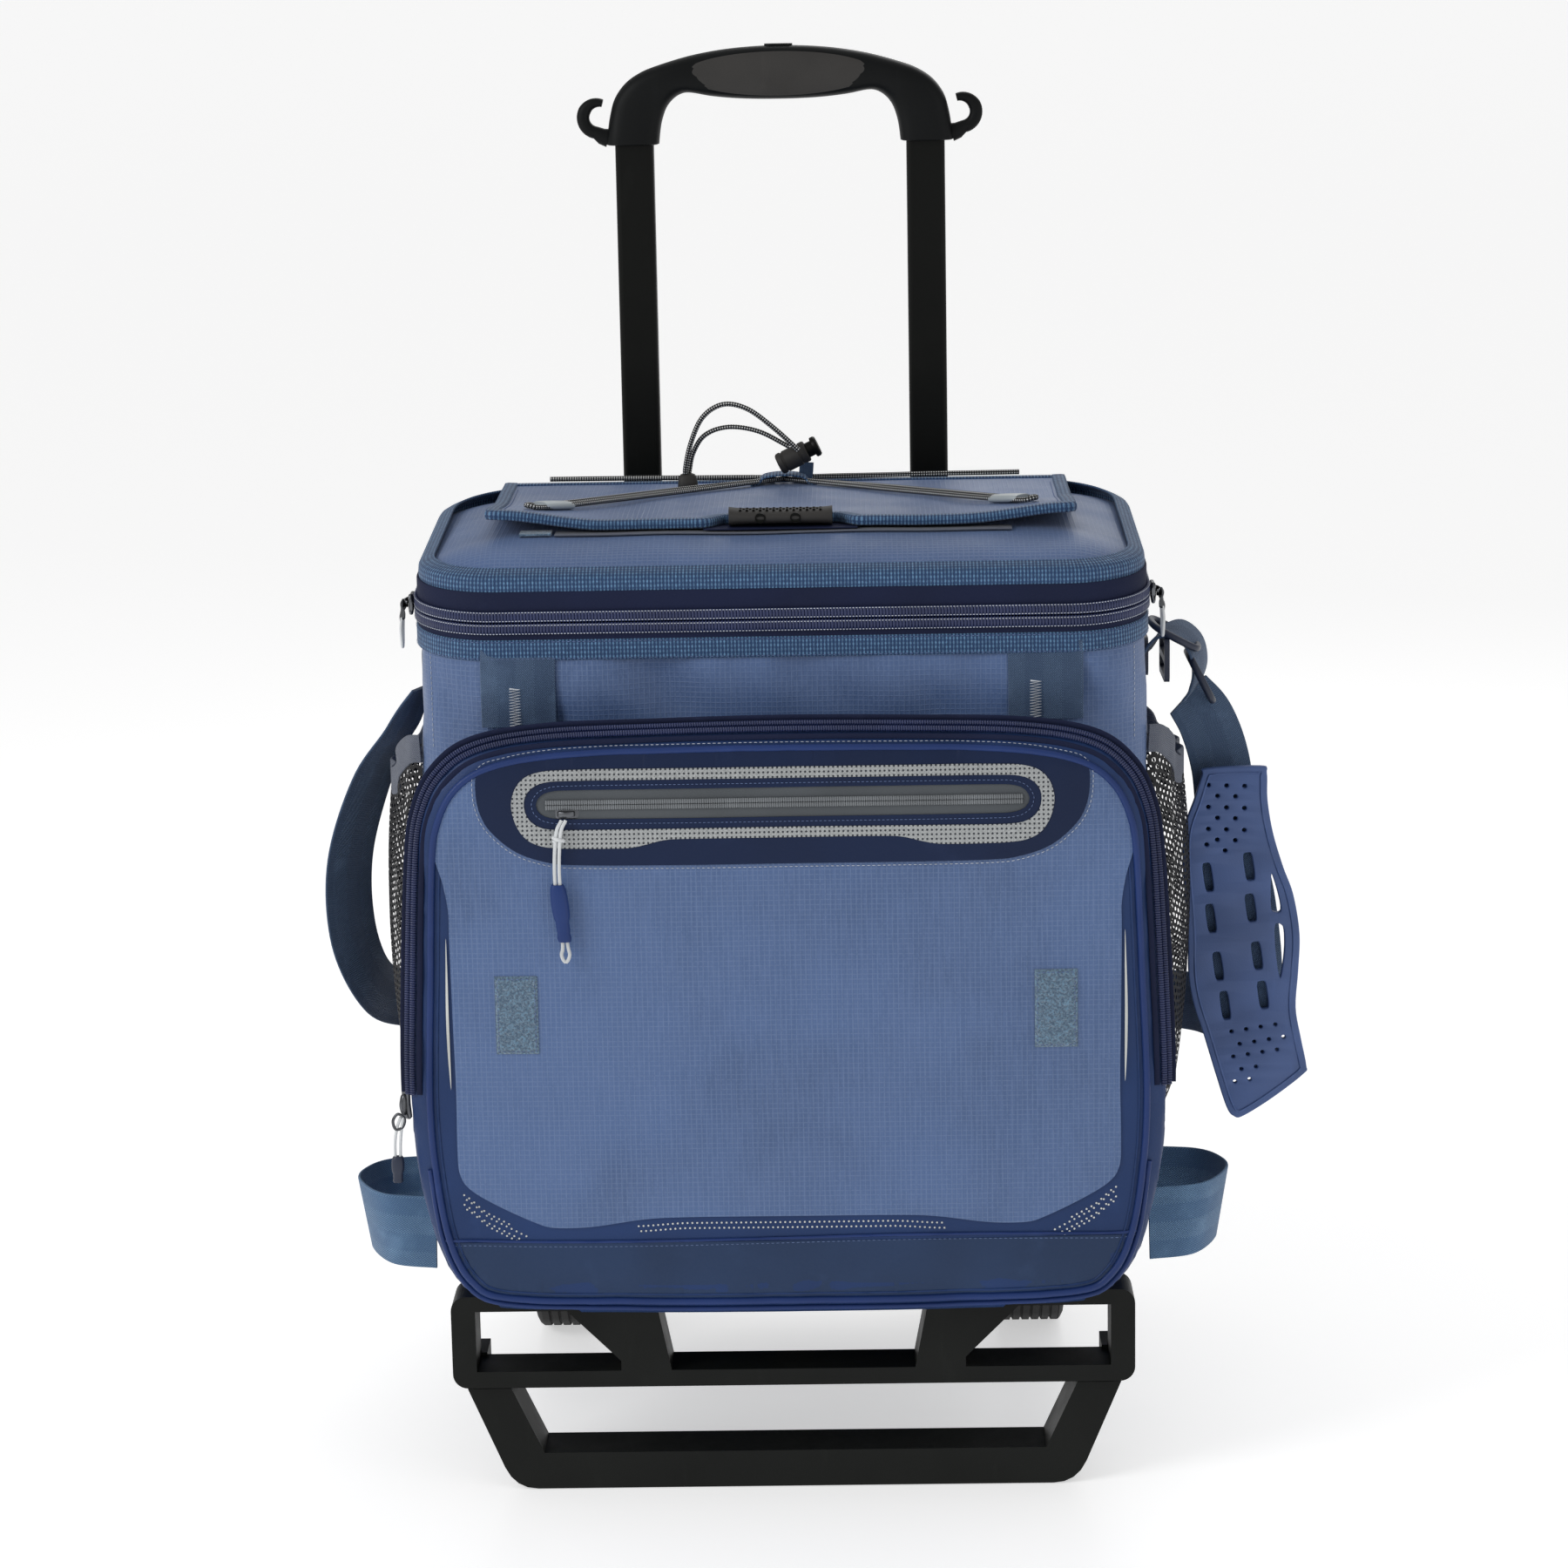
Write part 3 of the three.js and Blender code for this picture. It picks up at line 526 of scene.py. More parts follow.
def evenly(line, pitch, closed=False):
    """The same line with points about pitch apart."""
    line = np.asarray(line, float)
    if closed:
        line = np.vstack([line, line[:1]])
    far = np.concatenate([[0], np.cumsum(np.linalg.norm(np.diff(line, axis=0), axis=1))])
    count = max(2, round(far[-1] / pitch))
    at = np.linspace(0, far[-1], count + 1)
    if closed:
        at = at[:-1]
    return np.stack([np.interp(at, far, line[:, k]) for k in range(line.shape[1])], 1)


def directions(line, closed=False):
    """Unit tangents of a line of points."""
    if closed:
        ahead = np.roll(line, -1, 0) - np.roll(line, 1, 0)
    else:
        ahead = np.gradient(line, axis=0)
    return ahead / np.linalg.norm(ahead, axis=1, keepdims=True)


def unit(vectors):
    """The same vectors, each of length 1."""
    return vectors / np.linalg.norm(vectors, axis=-1, keepdims=True)


def sweep(line, across, section, closed=False):
    """Rows of a section (across, outwards) carried along a line; across gives its width's way."""
    line = np.asarray(line, float)
    tangent = directions(line, closed)
    across = np.broadcast_to(np.asarray(across, float), line.shape)
    outward = unit(np.cross(tangent, across))
    wide = np.cross(outward, tangent)
    section = np.asarray(section, float)
    return (line[:, None] + section[None, :, :1] * wide[:, None] + section[None, :, 1:] * outward[:, None])


def strap_section(width, thickness):
    """A flat strap's section with soft edges."""
    w, t = width / 2, thickness / 2
    quarter = [(w, 0), (w - 0.3 * t, 0.7 * t), (w - t, t)]
    top = quarter + [(-x, z) for x, z in reversed(quarter)]
    return top + [(x, -z) for x, z in reversed(top[1:-1])]


def ribbon(name, line, across, width, thickness, material, closed=False):
    """A flat strap along a line; across is the way its width runs."""
    rows = sweep(line, across, strap_section(width, thickness), closed)
    return lofted(name, rows, material, loop=closed)


def round_frames(line, closed=False):
    """Two crossing directions along a line that don't twist round it."""
    tangent = directions(line, closed)
    side = np.cross(tangent[0], (0, 0, 1) if abs(tangent[0][2]) < 0.9 else (1, 0, 0))
    sides = []
    for t in tangent:
        side = side - t * np.dot(side, t)
        side = side / np.linalg.norm(side)
        sides.append(side)
    sides = np.array(sides)
    if closed:
        last = sides[-1] - tangent[0] * np.dot(sides[-1], tangent[0])
        last = last / np.linalg.norm(last)
        twist = math.atan2(np.dot(np.cross(last, sides[0]), tangent[0]), np.dot(last, sides[0]))
        turn = twist * np.arange(len(line)) / len(line)
        up = np.cross(tangent, sides)
        sides = sides * np.cos(turn)[:, None] + up * np.sin(turn)[:, None]
    return sides, np.cross(tangent, sides)


def tube_rows(line, radius, sides=8, closed=False):
    """Rings of points round a line."""
    line = np.asarray(line, float)
    first, second = round_frames(line, closed)
    angle = np.arange(sides) * 2 * math.pi / sides
    radius = np.broadcast_to(np.asarray(radius, float), (len(line),))[:, None, None]
    ring = np.cos(angle)[None, :, None] * first[:, None] + np.sin(angle)[None, :, None] * second[:, None]
    return line[:, None] + radius * ring


def tube(name, line, radius, material, sides=8, closed=False):
    """A round rod or cord along a line."""
    rows = tube_rows(line, radius, sides, closed)
    return lofted(name, rows, material, 60, loop=closed)


def capsule(length, radius, sides=6, bulge=0.6):
    """Points and faces of a small rounded rod along X."""
    rings = [(-0.5, 0.0), (-0.42, bulge), (0.0, 1.0), (0.42, bulge), (0.5, 0.0)]
    points = [(rings[0][0] * length, 0, 0)]
    for at, size in rings[1:-1]:
        for k in range(sides):
            a = 2 * math.pi * k / sides
            points.append((at * length, radius * size * math.cos(a), radius * size * math.sin(a)))
    points.append((rings[-1][0] * length, 0, 0))
    last = len(points) - 1
    faces = []
    for k in range(sides):
        n = (k + 1) % sides
        faces.append((0, 1 + n, 1 + k))
        for r in range(len(rings) - 3):
            low = 1 + r * sides
            faces.append((low + k, low + n, low + sides + n, low + sides + k))
        faces.append((last, 1 + (len(rings) - 3) * sides + k, 1 + (len(rings) - 3) * sides + n))
    return np.array(points, float), faces


def copies(name, form, centres, axes, material):
    """One mesh of many copies of a small form; axes are its X, Y and Z at each centre."""
    points, faces = form
    x, y, z = axes
    placed = (centres[:, None] + points[None, :, 0, None] * x[:, None]
              + points[None, :, 1, None] * y[:, None] + points[None, :, 2, None] * z[:, None])
    count = len(points)
    every = [tuple(v + i * count for v in face) for i in range(len(centres)) for face in faces]
    return shape(name, placed.reshape(-1, 3), every, material, sharp=70)


def repeated(count, *axes):
    """The same axes for each of count copies."""
    return [np.tile(np.array(axis, float), (count, 1)) for axis in axes]


def stitches(name, line, outward, material, pitch=3.4, radius=0.32, closed=False):
    """A row of sewn stitches lying on a surface that looks outward."""
    at = evenly(line, pitch, closed)
    tangent = directions(at, closed)
    normal = unit(np.broadcast_to(np.asarray(outward, float), at.shape))
    side = unit(np.cross(tangent, normal))
    return copies(name, capsule(pitch * 0.68, radius, 5), at, (tangent, side, normal), material)


def surface_of(*objects):
    """Ray casts onto finished pieces, in millimetres."""
    work = bmesh.new()
    for obj in objects:
        work.from_mesh(obj.data)
    tree = BVHTree.FromBMesh(work)
    work.free()

    def hit(origin, way):
        found = tree.ray_cast(Vector(origin) * MM, Vector(way))[0]
        return None if found is None else np.array(found) / MM
    return hit


def mirrored(half):
    """A closed outline from its right half, listed from the top middle to the bottom middle."""
    left = [(-x, z) for x, z in reversed(half) if abs(x) > 1e-6]
    return list(half) + left


def ring_plan(half, front, back, front_corner, back_corner):
    """Points round a bag's plan: from the middle of the back past left, front and right."""
    points = []

    def side(start, end, count):
        for i in range(count):
            t = i / count
            points.append((start[0] + (end[0] - start[0]) * t, start[1] + (end[1] - start[1]) * t))

    def corner(x, y, radius, start, count=14):
        for i in range(count):
            a = math.radians(start + 90 * i / count)
            points.append((x + radius * math.cos(a), y + radius * math.sin(a)))
    r, f = back_corner, front_corner
    side((0, back), (-half + r, back), 20)
    corner(-half + r, back - r, r, 90)
    side((-half, back - r), (-half, front + f), 26)
    corner(-half + f, front + f, f, 180)
    side((-half + f, front), (half - f, front), 72)
    corner(half - f, front + f, f, 270)
    side((half, front + f), (half, back - r), 26)
    corner(half - r, back - r, r, 0)
    side((half - r, back), (0, back), 20)
    return np.array(points)


def outward_of(plan):
    """Outward directions of a plan listed anticlockwise."""
    tangent = directions(plan, True)
    return np.stack([tangent[:, 1], -tangent[:, 0]], 1)


def rumple(x, y, z, size, seed):
    """Soft random height from -1 to 1 that changes over about size millimetres."""
    return noise.noise(Vector((x / size + seed, y / size, z / size)))


def inflate(obj, voxel, cap, pressure=4.0, frames=20):
    """Swells a closed soft piece with a short cloth simulation. No point moves more than cap."""
    bpy.context.view_layer.objects.active = obj
    remesh = obj.modifiers.new("even", "REMESH")
    remesh.mode = "VOXEL"
    remesh.voxel_size = voxel * MM
    remesh.use_smooth_shade = True
    bpy.ops.object.modifier_apply(modifier=remesh.name)
    start = np.array([v.co for v in obj.data.vertices])
    cloth = obj.modifiers.new("cloth", "CLOTH")
    cloth.settings.quality = 4
    cloth.settings.mass = 0.3
    cloth.settings.tension_stiffness = 12
    cloth.settings.bending_stiffness = 2.0
    cloth.settings.use_pressure = True
    cloth.settings.uniform_pressure_force = pressure
    cloth.settings.effector_weights.gravity = 0
    cloth.point_cache.frame_end = frames
    for step in range(1, frames + 1):
        scene.frame_set(step)
    depsgraph = bpy.context.evaluated_depsgraph_get()
    swollen = np.array([v.co for v in obj.evaluated_get(depsgraph).data.vertices])
    move = swollen - start
    far = np.linalg.norm(move, axis=1, keepdims=True)
    move *= np.minimum(1, cap * MM / np.maximum(far, 1e-9))
    obj.modifiers.remove(cloth)
    obj.data.vertices.foreach_set("co", (start + move).ravel())
    obj.data.update()
    scene.frame_set(1)
    return obj


def flap_curl(x, y):
    """How far the flap's front corners curl up."""
    return 6.5 * smoothstep(105, 172, abs(x)) * smoothstep(150, 58, y)


def free_cord(name, route, radius, material, body, slot, sides=8, steps=8, nodes=()):
    """A cord that starts and ends in the object, as a tube round a smooth route."""
    line = evenly(spline(route, steps), radius * 1.1)
    obj = place(tube(name, line, radius, material, sides), body, slot, *nodes)
    return obj


def over_flap(x, y):
    """A point of the bungee cord where it lies on the flap."""
    return (x, y, CORD_Z + flap_curl(x, y))


def bungee_side(s):
    """The doubled strand from the flap's middle out to one front corner and back."""
    plan = [(6, 214), (70, 160), (138, 92), (152, 84), (153, 94), (140, 106), (70, 172), (6, 220)]
    return [over_flap(s * x, y) for x, y in plan]


bungee_route = ([over_flap(-150, 233), over_flap(-70, 230)] + bungee_side(-1)[::-1] + bungee_side(1)
                + [over_flap(70, 230), over_flap(150, 233)])
free_cord("bungee_cord_braided", bungee_route, CORD_RADIUS, bungee, "flap", "bungee",
          nodes=["bungee_cord"])
lock_route = [
    (10, 191, 607), (-6, 190, 622), (-22, 189, 634), (-37, 189, 637), (-50, 190, 629), (-58, 193, 612),
    (-62, 197, 594), (-60, 201, 592), (-57, 199, 605), (-49, 196, 617), (-34, 195, 622), (-15, 194, 619),
    (4, 194, 609)]
free_cord("lock_cord_braided", lock_route, CORD_RADIUS, bungee, "flap", "bungee",
          nodes=["lock_cord"])


# ---------------------------------------------------------------- cart and handle
def dress(material, bevel, *nodes):
    """A CAD node keeps its shape and gets its material and softened edges."""
    for node in nodes:
        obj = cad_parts[node]
        obj.data.materials.clear()
        obj.data.materials.append(material)
        if bevel:
            soften = obj.modifiers.new("edges", "BEVEL")
            soften.width = bevel * MM
            soften.segments = 2
            soften.limit_method = "ANGLE"
            soften.angle_limit = math.radians(35)
            soften.use_clamp_overlap = True


dress(cart_plastic, 1.3, "front_frame", "deck", "foot", "base", "tube_brace")
dress(cart_plastic, 0.9, "tube_collar_left", "tube_collar_right")
dress(tube_black, 1.6, "outer_tube_left", "outer_tube_right", "inner_tube_left", "inner_tube_right")
dress(steel, 0, "foot_hinge_pin", "axle", "release_yoke")
dress(cart_plastic, 0.7, "hub_left", "hub_right")
dress(grip_plastic, 0.6, "hub_cap_left", "hub_cap_right", "release_button")
dress(foil, 1.5, "bag_liner")


def rounded_section(power, count=28):
    """A soft-cornered square section, 1 each way from its middle."""
    points = []
    for i in range(count):
        a = 2 * math.pi * i / count
        c, s = math.cos(a), math.sin(a)
        points.append((math.copysign(abs(c) ** (2 / power), c), math.copysign(abs(s) ** (2 / power), s)))
    return points


def grip():
    """The moulded handle: two legs and a thick hand hold, one smooth body."""
    outer = [(111.3, 794), (110.4, 802), (108.8, 812), (105.5, 823), (98.5, 832.5), (89, 839), (78, 843.3),
             (58, 849), (38, 852.6), (19, 854.4), (0, 855)]
    inner = [(77.5, 794), (76.6, 802), (75.2, 809), (72.4, 816.5), (68, 822), (62.3, 825.4), (56, 825.9),
             (44, 823.6), (30, 822), (15, 821.2), (0, 821)]
    outer = outer[:-1] + [(-x, z) for x, z in reversed(outer)]
    inner = inner[:-1] + [(-x, z) for x, z in reversed(inner)]
    outer = spline([(x, 0, z) for x, z in outer], 4)
    inner = spline([(x, 0, z) for x, z in inner], 4)
    section = rounded_section(3.4)
    rows = []
    for a, b in zip(outer, inner):
        hold = smoothstep(74, 30, abs(a[0]))
        half_depth = 13 - 0.8 * hold
        centre = (a + b) / 2
        reach = (a - b) / 2
        rows.append([centre + reach * u + np.array((0, GRIP_Y + half_depth * v, 0)) for u, v in section])
    first, last = [[np.mean(row, 0) + (np.array(p) - np.mean(row, 0)) * 0.93 - (0, 0, 0.5) for p in row]
                   for row in (rows[0], rows[-1])]
    obj = lofted("grip_moulded", [first] + rows + [last], grip_plastic, 50)
    place(obj, "handle", "grip_plastic", "grip_front", "grip_rear")


def grip_hold():
    """The softer overmoulded pad on the front and back of the hand hold."""
    for way, name in ((-1, "front"), (1, "rear")):
        rows = []
        for i in range(41):
            x = -60 + 3 * i
            edge = math.sqrt(max(0.0, 1 - (x / 60.5) ** 2))
            top = 838 + 13.5 * edge
            low = 838 - 14.5 * edge
            row = []
            for k in range(13):
                v = k / 12
                z = low + (top - low) * v
                crown = math.sin(math.pi * v) ** 0.5 * edge ** 0.5
                row.append((x, GRIP_Y + way * (11.9 + 1.3 * crown), z))
            rows.append(row)
        obj = lofted(f"grip_pad_{name}", rows, soft_rubber, around=False)
        place(obj, "handle", "soft_rubber")


def hook(s, side):
    """An open hook beside the grip's leg, tapering to its tip."""
    centre = np.array((116.6, 811.0))
    plan = []
    width = []
    for i in range(25):
        a = math.radians(108 - 190 * i / 24)
        plan.append(centre + 9.6 * np.array((math.cos(a), math.sin(a))))
        width.append(2.5 + 1.6 * min(1, i / 10))
    plan += [np.array((114.5, 799.2)), np.array((110.2, 798.0))]
    width += [5.2, 6.0]
    line = np.array([(s * x, GRIP_Y, z) for x, z in plan])
    tangent = directions(line)
    flat = unit(np.cross(tangent, (0, 1, 0)))
    section = rounded_section(3.0, 16)
    rows = [[point + way * size * u + np.array((0, 5 * v, 0)) for u, v in section]
            for point, way, size in zip(line, flat, width)]
    obj = lofted(f"hook_{side}_moulded", rows, grip_plastic, 60)
    place(obj, "handle", "grip_plastic", f"hook_{side}")


def tyre(s, side):
    """A tyre with rounded shoulders and grooves round its tread."""
    half = TYRE_HALF_WIDTH
    profile = [(50.3, -half + 2.2), (54, -half + 0.4), (59, -half), (62, -half + 1.6)]
    across = -half + 4
    while across < half - 3:
        profile += [(63.8, across), (63.8, across + 4.4), (62.2, across + 4.9), (62.2, across + 6.0)]
        across += 6.4
    profile += [(63.8, half - 3.2), (62, half - 1.6), (59, half), (54, half - 0.4), (50.3, half - 2.2)]
    rows = []
    turns = 96
    for i in range(turns):
        a = 2 * math.pi * i / turns
        tread = 0.5 if i % 4 == 0 else 0.0
        rows.append([(s * WHEEL_X + x, WHEEL_Y + (r - tread * (r > TREAD_START)) * math.cos(a),
                      WHEEL_RADIUS + (r - tread * (r > TREAD_START)) * math.sin(a)) for r, x in profile])
    obj = lofted(f"tyre_{side}_treaded", rows, tyre_rubber, 30, loop=True)
    place(obj, f"wheel_{side}", "tyre", f"tyre_{side}")


SIDES = (("left", -1), ("right", 1))
grip()
grip_hold()
for side_name, sign in SIDES:
    hook(sign, side_name)
    tyre(sign, side_name)


# ---------------------------------------------------------------- bag body
def base_edge_z(y):
    """The height of the seam round the bag's navy base."""
    return BAG_BOTTOM + BASE_SHARE * (seam_z(y) - 1 - BAG_BOTTOM)


def bag_body():
    """The insulated bag: an open box of padded walls that rumple a little as they hang."""
    levels = [(0.0, 30, 0.6), (0.0, 12, 0.3), (0.004, 4, 0), (0.014, 1, 0), (0.03, 0, 0)]
    levels += [(t, 0, 0) for t in np.linspace(0.05, 1, 44)]
    rows = []
    for t, inset, lift in levels:
        rear = BAG_CORNER + (BAG_REAR_CORNER - BAG_CORNER) * smoothstep(0.3, 1, t)
        plan = ring_plan(BAG_HALF - inset, inset, BAG_BACK - inset, max(BASE_CORNER_MIN, BAG_CORNER - inset),
                         max(BASE_CORNER_MIN, rear - inset))
        outward = outward_of(plan)
        row = []
        for (x, y), (nx, ny) in zip(plan, outward):
            z = BAG_BOTTOM + lift + (seam_z(y) - 1 - BAG_BOTTOM) * t
            fade = smoothstep(0, 0.12, t) * smoothstep(1.0, 0.94, t)
            front = smoothstep(0.5, 0.9, -ny)
            swell = 2.2 * math.sin(math.pi * t) * abs(nx)
            folds = 2.6 * rumple(x, y, z * 0.55, 46, 3.1) + 1.1 * rumple(x, y, z, 21, 9.4)
            gathered = smoothstep(0.8, 0.88, t) * smoothstep(0.955, 0.925, t)
            tucks = 7.5 * front * gathered * rumple(x + 0.55 * z, 0, 0.35 * z, 27, 5.0)
            out = fade * (swell + folds * (1 - 0.55 * front) + tucks)
            out -= 1.6 * smoothstep(0.02, 0, abs(t - BASE_SHARE)) * (1 - front)
            row.append((x + nx * out, y + ny * out, z))
        rows.append(row)
    for inset, drop in ((3, 0.4), (9, 1.0), (13.5, 3), (13.8, 7)):
        plan = ring_plan(BAG_HALF - inset, inset, BAG_BACK - inset, BAG_CORNER - inset,
                         BAG_REAR_CORNER - inset)
        rows.append([(x, y, seam_z(y) - drop) for x, y in plan])
    points, faces, uvs = loft(rows, around=True)
    faces.append(tuple(range(len(rows[0]))))
    uvs += [(0, 0)] * len(rows[0])
    obj = shape("bag_body_shell", points, faces, ripstop, uvs)
    obj.data.materials.append(navy)
    for face in obj.data.polygons:
        if face.center.z < base_edge_z(face.center.y / MM) * MM:
            face.material_index = 1
    place(obj, "bag", "ripstop", "bag_body")
    return obj


def back_panel():
    """The back wall above the zip's ends, where the lid is sewn on, and its binding."""
    def top_z(x):
        return BACK_PANEL_TOP - 14 * smoothstep(140, BACK_PANEL_HALF, abs(x))
    rows = []
    for x in np.linspace(-BACK_PANEL_HALF, BACK_PANEL_HALF, 35):
        heights = [BACK_PANEL_FOOT + (top_z(x) - BACK_PANEL_FOOT) * k / 6 for k in range(7)]
        front_face = [(x, 250.5, z) for z in heights]
        back_face = [(x, 257.5, z) for z in reversed(heights)]
        rows.append(front_face + [(x, 254, top_z(x) + 1.2)] + back_face)
    place(lofted("back_panel", rows, ripstop), "bag", "ripstop")
    line = [(x, 254, top_z(x) + 0.5) for x in np.linspace(-166, 166, 60)]
    place(ribbon("back_panel_binding", line, (0, 1, 0), 10.5, 2.6, binding), "bag", "navy_trim")


bag = bag_body()
back_panel()
bag_hit = surface_of(bag)


# ---------------------------------------------------------------- lid
def lid_plan(inset):
    """The lid's plan, moved inwards by inset."""
    return ring_plan(BAG_HALF - 1.5 - inset, 1.5 + inset, LID_BACK - inset, max(10, BAG_CORNER - inset),
                     max(10, BAG_REAR_CORNER - inset))


def lid_shell():
    """The padded lid: straight sides and a domed top."""
    rows = []
    for inset, lift in ((90, 5), (40, 4), (14, 4), (4, 3), (0, 3.5), (0, 8)):
        rows.append([(x, y, seam_z(y) + lift) for x, y in lid_plan(inset)])
    for inset in (0, 0.6, 2.5, 6, 11, 18, 27, 38, 52, 68, 86, 104):
        row = []
        for x, y in lid_plan(inset):
            edge = lid_edge_z(y) - 2.5
            rise = (LID_TOP - edge) * (1 - math.exp(-inset / 21))
            dimple = 0.9 * rumple(x, y, 0, 60, 1.7) * smoothstep(3, 25, inset)
            row.append((x, y, edge + rise + dimple - 0.7))
        rows.append(row)
    obj = lofted("lid_shell", rows, ripstop, 55)
    obj.data.materials.append(tape_navy)
    obj.data.materials.append(foil)
    for face in obj.data.polygons:
        if abs(face.normal.z) < 0.5:
            face.material_index = 1
        elif face.normal.z < 0:
            face.material_index = 2
    place(obj, "lid", "ripstop", "lid")
    return obj


def zip_line(out, up, back=212):
    """A line round the front and sides at the lid zip, out from the wall and up from the seam."""
    plan = ring_plan(BAG_HALF + out, -out, LID_BACK, BAG_CORNER + out, BAG_REAR_CORNER)
    return np.array([(x, y, seam_z(y) + up) for x, y in plan if y <= back])


def wall_tape(name, out, middle, width, thickness, material, back=212):
    """A tape that runs round the bag's front and sides."""
    line = evenly(zip_line(out, middle, back), 5)
    rows = sweep(line, (0, 0, 1), strap_section(width, thickness))
    return lofted(name, rows, material)


def lid_zip():
    """The chunky coil zip: on the lid and on the bag, a tape, a row of teeth and the thread along it."""
    upper = wall_tape("zip_tape_lid", 0.9, 9.5, 17, 1.6, tape_navy)
    place(upper, "lid", "navy_trim", "zip_tape_upper")
    lower = wall_tape("zip_tape_bag", 0.9, -6.5, 12, 1.6, tape_navy)
    place(lower, "bag", "navy_trim", "zip_tape_lower")
    for name, body, way in (("zip_coil_lid", "lid", 1), ("zip_coil_bag", "bag", -1)):
        at = evenly(zip_line(2.6, way * 3.5), COIL_PITCH)
        tangent = directions(at)
        normal = unit(np.cross(tangent, (0, 0, 1)))
        up = unit(np.cross(normal, tangent))
        up = up * np.sign(up[:, 2:])
        place(copies(name, capsule(6.9, 1.15, 6, 0.9), at, (up, tangent, normal), coil_navy),
              body, "navy_trim")
        for row, offset in (("outer", 6.3), ("inner", 1.3)):
            sewn = zip_line(3.6, way * offset)
            place(stitches(f"{name}_{row}_thread", sewn, (0, -1, 0), thread_pale, COIL_PITCH, 0.36),
                  body, "navy_trim")


def lid_binding():
    """The binding that wraps the lid's top edge all round, and the one below the zip."""
    plan = lid_plan(0)
    line = np.array([(x, y, lid_edge_z(y) - 4) for x, y in plan])
    wrap = [(-7.5, 0.4), (-7.5, 1.9), (0, 2.3), (4.0, 1.9), (5.9, 0.6), (7.4, -2.0), (9.6, -7.4),
            (8.6, -7.9), (6.0, -2.4), (3.6, 0.2)]
    rows = sweep(evenly(line, 5, True), (0, 0, 1), wrap, closed=True)
    place(lofted("lid_binding", rows, binding, 60, loop=True), "lid", "navy_trim")
    low = wall_tape("bag_binding", 1.5, -16.5, 12.5, 2.4, binding, 226)
    place(low, "bag", "navy_trim")
    for offset, name in ((-11.4, "upper"), (-21.4, "lower")):
        line = zip_line(2.9, offset, 224)
        sewn = stitches(f"bag_binding_stitch_{name}", line, (0, -1, 0), thread_blue, 3.0, 0.28)
        place(sewn, "bag", "navy_trim")


def lid_hinge():
    """The fabric hinge between the back wall and the lid."""
    bend = ((242, 575.2), (246, 577.6), (250, 578.0), (254, 576.6), (256, 573.5))
    rows = [[(x, y, z) for y, z in bend] for x in np.linspace(-160, 160, 33)]
    obj = lofted("lid_hinge_fabric", rows, navy, around=False)
    solid = obj.modifiers.new("thickness", "SOLIDIFY")
    solid.thickness = 0.8 * MM
    solid.offset = 0
    bpy.context.view_layer.objects.active = obj
    bpy.ops.object.modifier_apply(modifier=solid.name)
    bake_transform(obj)


lid_piece = lid_shell()
lid_hit = surface_of(lid_piece)
lid_zip()
lid_binding()
lid_hinge()


# ---------------------------------------------------------------- front pocket
PIPING_HALF = [(0, 466), (70, 465.5), (135, 463), (172, 456), (192, 443), (203, 422), (207, 395),
               (210.5, 320), (213, 258), (211, 212), (204, 168), (191, 141), (168, 130), (90, 127),
               (0, 126.5)]
ZIP_HALF = [(0, 480), (72, 479), (140, 477), (182, 469.5), (204, 453), (215.5, 430), (220.5, 398), (225, 325),
            (227, 258), (223, 208), (213, 160), (197, 132), (170, 118.5), (90, 114.5), (0, 113.5)]
ROOT_HALF = [(0, 477), (70, 476.5), (138, 474.5), (178, 467), (198, 452), (208, 430), (212, 398), (213, 325),
             (213, 258), (211, 208), (204, 166), (190, 142), (166, 129), (90, 127.2), (0, 127)]


def outline(half, steps=7):
    """A closed front-view outline, listed clockwise from the top middle, from its right half."""
    return spline([(x, 0, z) for x, z in mirrored(half)], steps, True)


def body_depth(x):
    """How far back the bag's front wall lies at that distance from the middle."""
    past = max(0.0, abs(x) - (BAG_HALF - BAG_CORNER))
    return BAG_CORNER - math.sqrt(max(0.0, BAG_CORNER ** 2 - min(past, 46.0) ** 2))


def zip_slope_y(k):
    """Depth of the slope from the piping, at k 0, back to the zip's edge, at 1."""
    return PANEL_Y + 8.5 * k ** 1.4


def front_pocket():
    """The zipped front pocket: a crowned panel, the zip's slope and a gusset back to the bag."""
    panel = outline(PIPING_HALF)
    zip_edge = outline(ZIP_HALF)
    root = outline(ROOT_HALF)
    middle = np.array((0, 0, 296.0))
    rows = []
    for size in (0.1, 0.3, 0.5, 0.66, 0.8, 0.9, 0.96, 1.0):
        ring = middle + (panel - middle) * size
        ring[:, 1] = PANEL_Y - 3.4 * (1 - size ** 3)
        for point in ring:
            point[1] += 1.1 * rumple(point[0], 0, point[2], 75, 6.2) * (1 - size ** 2)
        rows.append(ring)
    for k in (0.25, 0.6, 1.0):
        ring = panel + (zip_edge - panel) * k
        ring[:, 1] = zip_slope_y(k)
        rows.append(ring)
    for k in (0.15, 0.32, 0.5, 0.7, 0.88, 1.0):
        ring = zip_edge + (root - zip_edge) * k
        start = POCKET_FRONT + 9.3
        for point in ring:
            back = body_depth(point[0]) - 0.8
            low = smoothstep(140, 120, point[2])
            back = back * (1 - low) - 24.5 * low if k < 1 else -0.8
            point[1] = start + (back - start) * k
            ripple = 2.2 * math.sin(math.pi * k) * rumple(point[0] * 0.6, point[1], point[2], 34, 2.2)
            point[0] += math.copysign(ripple, point[0]) * smoothstep(180, 210, abs(point[0]))
        rows.append(ring)
    obj = lofted("front_pocket_shell", rows, navy, 60)
    inflate(obj, 4.5, 2.5)
    place(obj, "bag", "navy_trim", "front_pocket")
    return obj


